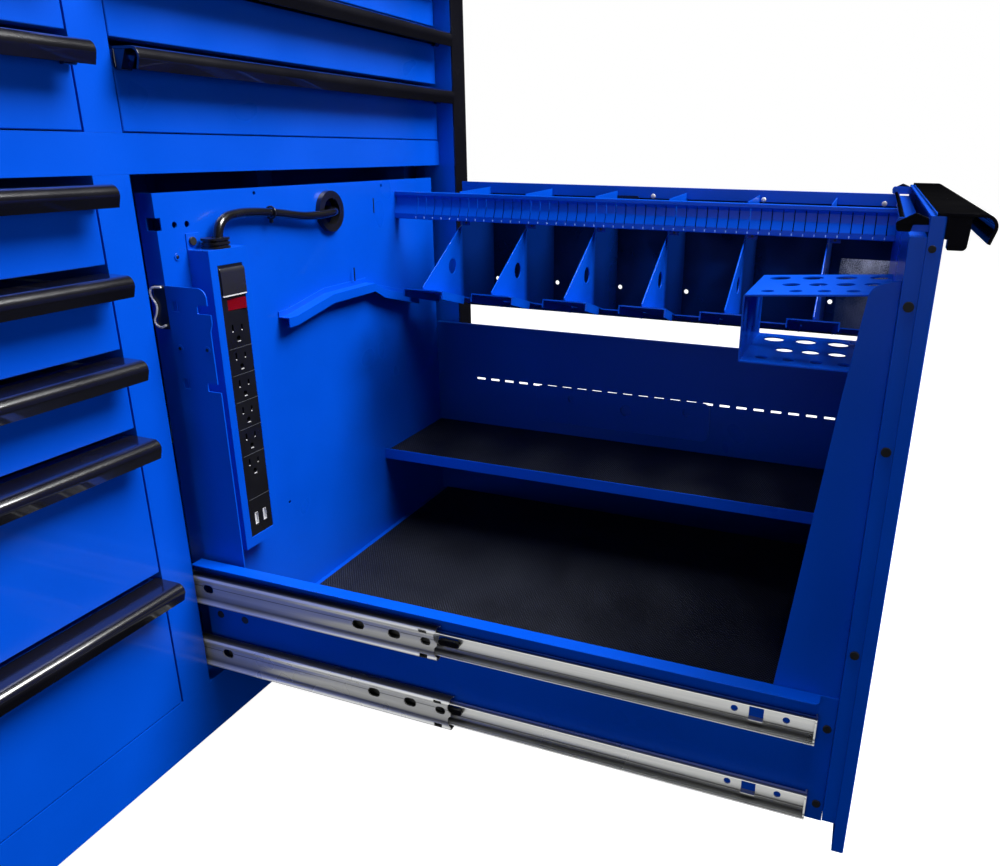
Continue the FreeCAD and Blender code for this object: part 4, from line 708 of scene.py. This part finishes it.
def obround(centre, length, height, depth):
    x, y, z = centre
    reach = (length - height) / 2
    middle = boxAt((x - depth / 2, y - reach, z - height / 2), (x + depth / 2, y + reach, z + height / 2))
    ends = [rodAt((x, y + side * reach, z), "x", height / 2, depth, 20) for side in (-1, 1)]
    bar = ends[0]
    for other in (middle, ends[1]):
        applyModifier(bar, "BOOLEAN", operation="UNION", solver="EXACT", object=other)
        bpy.data.objects.remove(other)
    return bar


holeSizes = {
    "long": (0.0135, 0.009, 0.006), "oval": (0.0108, 0.0078, 0.006), "slot": (0.023, 0.008, 0.004),
    "round": (0.003, 0.004), "small": (0.0085, 0.0045, 0.004), "square": (0.012, 0.0105, 0.004),
}


def slideHole(section, kind, y, rise, level, far):
    x = across(slides[section + "Web"], far)
    place = (x, y, level + rise)
    if kind in ("long", "oval", "slot"):
        return obround(place, *holeSizes[kind])
    if kind == "round":
        radius, depth = holeSizes[kind]
        return rodAt(place, "x", radius, depth, 20)
    length, height, depth = holeSizes[kind]
    low = (x - depth / 2, y - length / 2, level + rise - height / 2)
    return boxAt(low, (x + depth / 2, y + length / 2, level + rise + height / 2))


middleHoles = {
    0.3383: [
        ("long", -0.0127, 0.002), ("long", -0.1938, 0.002), ("long", -0.2335, 0.001),
        ("small", -0.265, 0.0122), ("oval", -0.2672, 0.0012), ("small", -0.265, -0.0142),
    ],
    0.2628: [
        ("long", -0.0269, 0.0032), ("long", -0.2058, 0.0032), ("long", -0.2464, 0.0028),
        ("small", -0.2774, 0.0122), ("oval", -0.2795, 0.0024), ("small", -0.2773, -0.0142),
    ],
}
innerHoles = [
    ("round", -0.5529, 0.0), ("square", -0.571, 0.0005), ("round", -0.5952, -0.0005), ("slot", -0.287, 0.0),
]


def middleStart(level):
    # the lower pair stands further out
    return slides["middle"][0] - (slides["lowerLead"] if level < slides["levels"][0] else 0)


def makeMiddle(level, far):
    start, end = middleStart(level), slides["middle"][1]
    member = drawOut(memberOutline(middleSection, slides["middleBend"], level, far), "XZ", start, end)
    cutters = [slideHole("middle", kind, y, rise, level, far) for kind, y, rise in middleHoles[level]]
    x, y = across(slides["mouthX"], far), start - slides["mouthOut"]
    for rise in (-slides["mouthRise"], slides["mouthRise"]):
        cutters.append(rodAt((x, y, level + rise), "x", slides["mouthRadius"], 0.014, 24))
    punch(member, cutters)
    return member


def makeInner(level, far):
    # a drawer member, with the bent stop at its front end and the lanced tab under its square hole
    member = drawOut(memberOutline(innerSection, slides["innerBend"], level, far), "XZ", *slides["inner"])
    punch(member, [slideHole("inner", kind, y, rise, level, far) for kind, y, rise in innerHoles])
    front, half = slides["inner"][0], slides["stopHalf"]
    low, high = sorted(across(x, far) for x in slides["stopX"])
    near, back = slides["stopY"]
    stop = boxAt((low, front + near, level - half), (high, front + back, level + half))
    low, high = sorted(across(x, far) for x in slides["tabX"])
    near, back = slides["tabY"]
    foot, top = slides["tabZ"]
    return member, [stop, boxAt((low, near, level + foot), (high, back, level + top))]


def makeCages(level, far):
    cages = []
    low, high = sorted(across(x, far) for x in slides["cageX"])
    front = middleStart(level) + 0.001
    for rise in (-slides["cageRise"], slides["cageRise"]):
        foot, top = level + rise - slides["cageHalf"], level + rise + slides["cageHalf"]
        cages.append(boxAt((low, front, foot), (high, front + slides["cageLength"], top)))
    return cages


def makeSlides():
    places = [(level, far) for level in slides["levels"] for far in (False, True)]
    middles, inners, stops = [], [], []
    for place in places:
        middles.append(makeMiddle(*place))
        inner, ends = makeInner(*place)
        inners.append(inner)
        stops += ends
    for name, members, body in (("middle", middles, "slide_carriages"), ("drawer", inners + stops, "pullout")):
        piece = merge(members)
        roundEdges(piece, edges["rolled"], 1, 50)
        smooth(piece, 50)
        add(piece, "slide" + name.title() + "Members", body, "zinc_steel", name + "_member")
        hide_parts("slide_" + name + "_members")
    cages, levers = [], []
    for level, far in places:
        cages += makeCages(level, far)
        x = across(slides["leverX"], far)
        levers.append(obround((x, slides["leverY"], level), 0.022, 0.0062, 0.0036))
    for name, pieces, body in (("slideCages", cages, "slide_carriages"), ("slideLevers", levers, "pullout")):
        piece = merge(pieces)
        roundEdges(piece, edges["rolled"], 1)
        add(piece, name, body, "black_plastic")


makeSlides()
print("slides made")


def addGroup(pieces, name, width, segments, slot, finish=None):
    # pieces of the pull-out that are one piece of the scene
    piece = merge(pieces)
    roundEdges(piece, width, segments)
    add(piece, name, "pullout", slot, finish)


clip = {
    "path": (
        (0.0049, 0.6477), (0.018, 0.6446), (0.0183, 0.6386), (0.0133, 0.6299), (0.0148, 0.6223),
        (0.0183, 0.6144), (0.0135, 0.6095), (0.0053, 0.6117),
    ),
    "x": 0.0385, "wire": 0.0011, "pad": ((0.0398, 0.0026, 0.6075), (0.0412, 0.0165, 0.6485)),
}


def makeClip():
    wire = wireAlong([(clip["x"], y, z) for y, z in clip["path"]], clip["wire"])
    add(wire, "cordClip", "pullout", "zinc_steel", "pale_metal")
    # painted shade: a black box behind the wire stands for the dark hollow behind the clip
    addGroup([boxAt(*clip["pad"])], "clipPad", 0.0006, 2, "black_plastic")


rail = {
    "x": 0.5515, "level": 0.7155, "holderY": -0.2895, "holder": (0.041, 0.0055, 0.003),
    "screws": (-0.329, -0.473, -0.617), "screwRadius": 0.0032, "slotHalf": 0.0022,
    "dividers": (-0.5614, -0.4674, -0.3734, -0.2794, -0.1854, -0.0914), "tabX": 0.459,
    "tabY": (-0.014, -0.002), "tabZ": (0.6755, 0.6825), "dotY": -0.008, "dotZ": 0.679,
    "firstSlit": -0.623, "slitPitch": 0.01258, "slits": 48,
    "slitGlint": ((0.4459, 0.0006, 0.6826), (0.4468, 0.0018, 0.6852)),
}


def makeDome(y):
    # a low dome with a screwdriver slot
    x, level = rail["x"], rail["level"]
    deselectAll()
    bpy.ops.mesh.primitive_uv_sphere_add(
        segments=20, ring_count=10, radius=rail["screwRadius"], location=(x, y, level)
    )
    dome = bpy.context.object
    dome.scale = (0.45, 1, 1)
    bpy.ops.object.transform_apply(location=True, rotation=True, scale=True)
    half = rail["slotHalf"]
    punch(dome, [boxAt((x - 0.002, y - half, level - 0.0003), (x - 0.001, y + half, level + 0.0003))])
    return dome


def makeRailParts():
    x, level = rail["x"], rail["level"]
    holder = obround((x - 0.0008, rail["holderY"], level - 0.003), *rail["holder"])
    addGroup([holder], "railClip", 0.0006, 2, "black_plastic")
    screws = merge([makeDome(y) for y in rail["screws"]])
    smooth(screws, 40)
    add(screws, "railScrews", "pullout", "zinc_steel", "pale_metal")


def makeBinTabs():
    # screw tabs that hold the bins under the near rail
    tabs, dots = [], []
    x, (near, back), (foot, top) = rail["tabX"], rail["tabY"], rail["tabZ"]
    for y in rail["dividers"]:
        tabs.append(boxAt((x - 0.0006, y + near, foot), (x + 0.0006, y + back, top)))
        dots.append(rodAt((x - 0.0006, y + rail["dotY"], rail["dotZ"]), "x", 0.0018, 0.001, 16))
    # the tabs take the dividers' painted shade
    addGroup(tabs, "binTabs", edges["rolled"], 2, "blue_paint", "divider_shaded_paint")
    addGroup(dots, "binTabScrews", edges["fine"], 2, "zinc_steel", "screw_black")


bracket = {
    "centre": (0.5476, -0.2945, 0.4118), "length": 0.262, "height": 0.055, "corner": 0.0095,
    "face": (0.5471, 0.5483), "rim": (0.5482, 0.5493), "rimOut": 0.0012, "rimCorner": 0.01,
    "holes": ((-0.304, 0.416, 0.008), (-0.393, 0.424, 0.0055), (-0.22, 0.424, 0.0055)),
}


def roundedPlate(centre, length, height, radius):
    # outline of a plate with round corners, in Y and Z
    outline = []
    for side, top, start in ((1, 1, 0), (-1, 1, 90), (-1, -1, 180), (1, -1, 270)):
        y = centre[1] + side * (length / 2 - radius)
        z = centre[2] + top * (height / 2 - radius)
        for step in range(7):
            angle = math.radians(start + step * 15)
            outline.append((y + radius * math.cos(angle), z + radius * math.sin(angle)))
    return outline


def makeBracket():
    # stiffening plate on the far wall's inner face, on a rim in the plain paint; the plate takes the tray's
    # painted shade, so the rim shows lighter
    centre, length, height = bracket["centre"], bracket["length"], bracket["height"]
    out = bracket["rimOut"]
    outline = roundedPlate(centre, length + out, height + out, bracket["rimCorner"])
    rim = drawOut(outline, "YZ", *bracket["rim"])
    roundEdges(rim, edges["fine"])
    add(rim, "farWallBracketEdge", "pullout", "blue_paint")
    plate = drawOut(roundedPlate(centre, length, height, bracket["corner"]), "YZ", *bracket["face"])
    for piece in (plate, rim):
        punch(piece, [rodAt((centre[0], y, z), "x", radius, 0.008, 32) for y, z, radius in bracket["holes"]])
    addGroup([plate], "farWallBracket", edges["rolled"], 2, "blue_paint", "tray_shaded_paint")


marks = {
    "windows": (0.5556, 0.6302), "lanceX": (0.0414, 0.0422), "lanceHalf": 0.0055,
    "lances": ((-0.0126, -0.0088), (-0.0083, -0.0035)),
    "plugX": 0.0337, "plugZ": 0.305, "plugs": (-0.0141, -0.0455),
    "rivetX": 0.039, "rivets": ((-0.0068, 0.5904), (-0.0393, 0.5916)),
    "panelRivet": (0.0604, 0.0013, 0.6729),
    "rimHighlight": ((0.0402, 0.0004, 0.262), (0.0408, 0.0021, 0.648)),
    "slot": ((0.3957, 0.0015, 0.6915), (0.3974, 0.0023, 0.71)),
    "pin": ((0.3352, -0.0036, 0.6128), (0.3368, -0.0026, 0.6294)),
}


def makePlateMarks():
    # lanced tabs that stay in the side plate's windows, and plugs low on the near wall
    lances = []
    (low, high), half = marks["lanceX"], marks["lanceHalf"]
    for z in marks["windows"]:
        for near, back in marks["lances"]:
            lances.append(boxAt((low, near, z - half), (high, back, z + half)))
    addGroup(lances, "windowTabs", edges["fine"], 2, "blue_paint")
    plugs = [rodAt((marks["plugX"], y, marks["plugZ"]), "x", 0.0042, 0.0012, 24) for y in marks["plugs"]]
    addGroup(plugs, "wallPlugs", 0.0004, 2, "black_plastic", "screw_black")


def makeSlitGlints():
    # painted highlights: pale ticks at the slits' feet on the flared edge stand for glints
    glints = []
    (lowX, lowY, lowZ), (highX, highY, highZ) = rail["slitGlint"]
    for i in range(rail["slits"]):
        y = rail["firstSlit"] + rail["slitPitch"] * i
        glints.append(boxAt((lowX, y + lowY, lowZ), (highX, y + highY, highZ)))
    addGroup(glints, "slitBurrs", edges["fine"], 1, "blue_paint", "painted_glint")


def makeSmallMarks():
    # painted shade: black discs stand for the dark inside the rivet holes
    holes = [rodAt((marks["rivetX"], y, z), "x", 0.0017, 0.0006, 20) for y, z in marks["rivets"]]
    holes.append(rodAt(marks["panelRivet"], "y", 0.0017, 0.0006, 20))
    addGroup(holes, "rivetHoles", edges["fine"], 1, "black_plastic")
    # painted highlight: a strip of brighter blue along the side plate's edge
    addGroup([boxAt(*marks["rimHighlight"])], "plateSeam", edges["fine"], 1, "blue_paint", "painted_edge_highlight")
    # painted shade: a black strip stands for the dark of a slot in the rear panel
    addGroup([boxAt(*marks["slot"])], "panelSlot", 0.0003, 1, "black_plastic")
    addGroup([boxAt(*marks["pin"])], "hookPin", edges["fine"], 2, "black_plastic")


makeClip()
makeRailParts()
makeBinTabs()
makeBracket()
makePlateMarks()
makeSlitGlints()
makeSmallMarks()
print("small parts made")


def receiversOf(name, pieces):
    receivers = bpy.data.collections.new(name)
    for piece in pieces:
        receivers.objects.link(piece)
    return receivers


def lightOnly(light, receivers):
    light.visible_camera = False
    light.light_linking.receiver_collection = receivers


def linkLights():
    # the floor beside the pull-out is mirrored by the zinc only, long tubes by the glossy pulls only
    place = studio["glow"]
    glow = makeLight("floorGlow", place, (*place[:2], 1), studio["glowSize"], studio["glowPower"])
    glow.rotation_euler = (math.pi, 0, 0)
    mirrors = ("slideMiddleMembers", "slideDrawerMembers", "cordClip")
    lightOnly(glow, receiversOf("mirrorParts", [bpy.data.objects[name] for name in mirrors]))
    pulls = [piece for piece in bpy.data.objects if piece.name.startswith("shown_") and "pull_" in piece.name]
    pulls.append(bpy.data.objects["shown_pullout_pull"])
    glossy = receiversOf("glossyPulls", pulls)
    for name, spot, power in studio["tubes"]:
        lightOnly(makeLight(name, spot, studio["tubeAim"], studio["tubeSize"], power), glossy)


linkLights()


strip = {
    "front": outY(630.0), "left": 0.08515, "right": 0.1184, "middle": 0.10025,
    "headZ": (0.6338, 0.6627), "headY": (-0.0012, 0.006), "headRound": 0.0068, "roundAbove": 0.66,
    "lineZ": (0.6322, 0.6337), "lineY": (-0.001, 0.004),
    "separators": (0.580, 0.5524, 0.524, 0.4947, 0.4653, 0.4158), "separatorIn": 0.0006,
    "outlets": 6, "outletTop": 0.5962, "outletPitch": 0.0287, "apart": 0.0064, "ports": 0.3925,
}


def facing(xHalf, depth, zRange, x, level):
    # a box on the strip's face: half its width, from and to in depth, from and to in height
    front = strip["front"]
    low = (x - xHalf, front + depth[0], level + zRange[0])
    return boxAt(low, (x + xHalf, front + depth[1], level + zRange[1]))


def makeStripHead():
    front, left, right = strip["front"], strip["left"], strip["right"]
    (near, back), (foot, top) = strip["headY"], strip["headZ"]
    head = boxAt((left, front + near, foot), (right, front + back, top))
    selectFaces(head, lambda face: face.normal.z > 0.9)
    bpy.ops.transform.translate(value=(0, 0, -0.0002))
    bpy.ops.mesh.select_mode(type="EDGE")
    bpy.ops.mesh.select_all(action="DESELECT")
    mesh = bmesh.from_edit_mesh(head.data)
    for edge in mesh.edges:
        middle = (edge.verts[0].co + edge.verts[1].co) / 2
        edge.select_set(middle.z > strip["roundAbove"] and middle.y < front)
    bmesh.update_edit_mesh(head.data)
    bpy.ops.mesh.bevel(offset=strip["headRound"], segments=8)
    endEdit()
    roundEdges(head, edges["sheet"], 2, 50)
    add(head, "stripHead", "pullout", "black_plastic", "socket_plastic")
    (near, back), (foot, top) = strip["lineY"], strip["lineZ"]
    line = boxAt((left, front + near, foot), (right, front + back, top))
    addGroup([line], "stripLine", 0.0003, 2, "zinc_steel", "pale_metal")


def makeOutlets():
    half = (strip["right"] - strip["left"]) / 2 - strip["separatorIn"]
    centre = (strip["right"] + strip["left"]) / 2
    thin = (-0.00022, 0.00022)
    lines = merge([facing(half, (0.0002, 0.001), thin, centre, level) for level in strip["separators"]])
    add(lines, "stripSeparators", "pullout", "black_plastic", "separator_grey")
    middle, apart = strip["middle"], strip["apart"]
    # contacts at the slots' feet and a bar under each earth hole, in pale metal that also stands as a painted
    # glint
    contactGlints = []
    for i in range(strip["outlets"]):
        level = strip["outletTop"] - strip["outletPitch"] * i
        for x in (middle - apart, middle + apart):
            contactGlints.append(facing(0.0009, (0.0008, 0.0016), (0.0001, 0.0011), x, level))
        contactGlints.append(facing(0.0021, (-0.0002, 0.0004), (-0.0102, -0.0094), middle, level))
    addGroup(contactGlints, "outletContacts", edges["finest"], 1, "zinc_steel", "pale_metal")


def makePorts():
    middle, apart, level = strip["middle"], strip["apart"], strip["ports"]
    shells = []
    for x in (middle - apart, middle + apart):
        shell = facing(0.0025, (0.0003, 0.009), (-0.0066, 0.0066), x, level)
        punch(shell, [facing(0.0021, (-0.001, 0.008), (-0.0062, 0.0062), x, level)])
        shells.append(shell)
        shells.append(facing(0.0009, (0.0008, 0.0085), (-0.0054, 0.0054), x - 0.0007, level))
    addGroup(shells, "chargingPorts", edges["finest"], 1, "zinc_steel", "pale_metal")


makeStripHead()
makeOutlets()
makePorts()
print("strip face made")
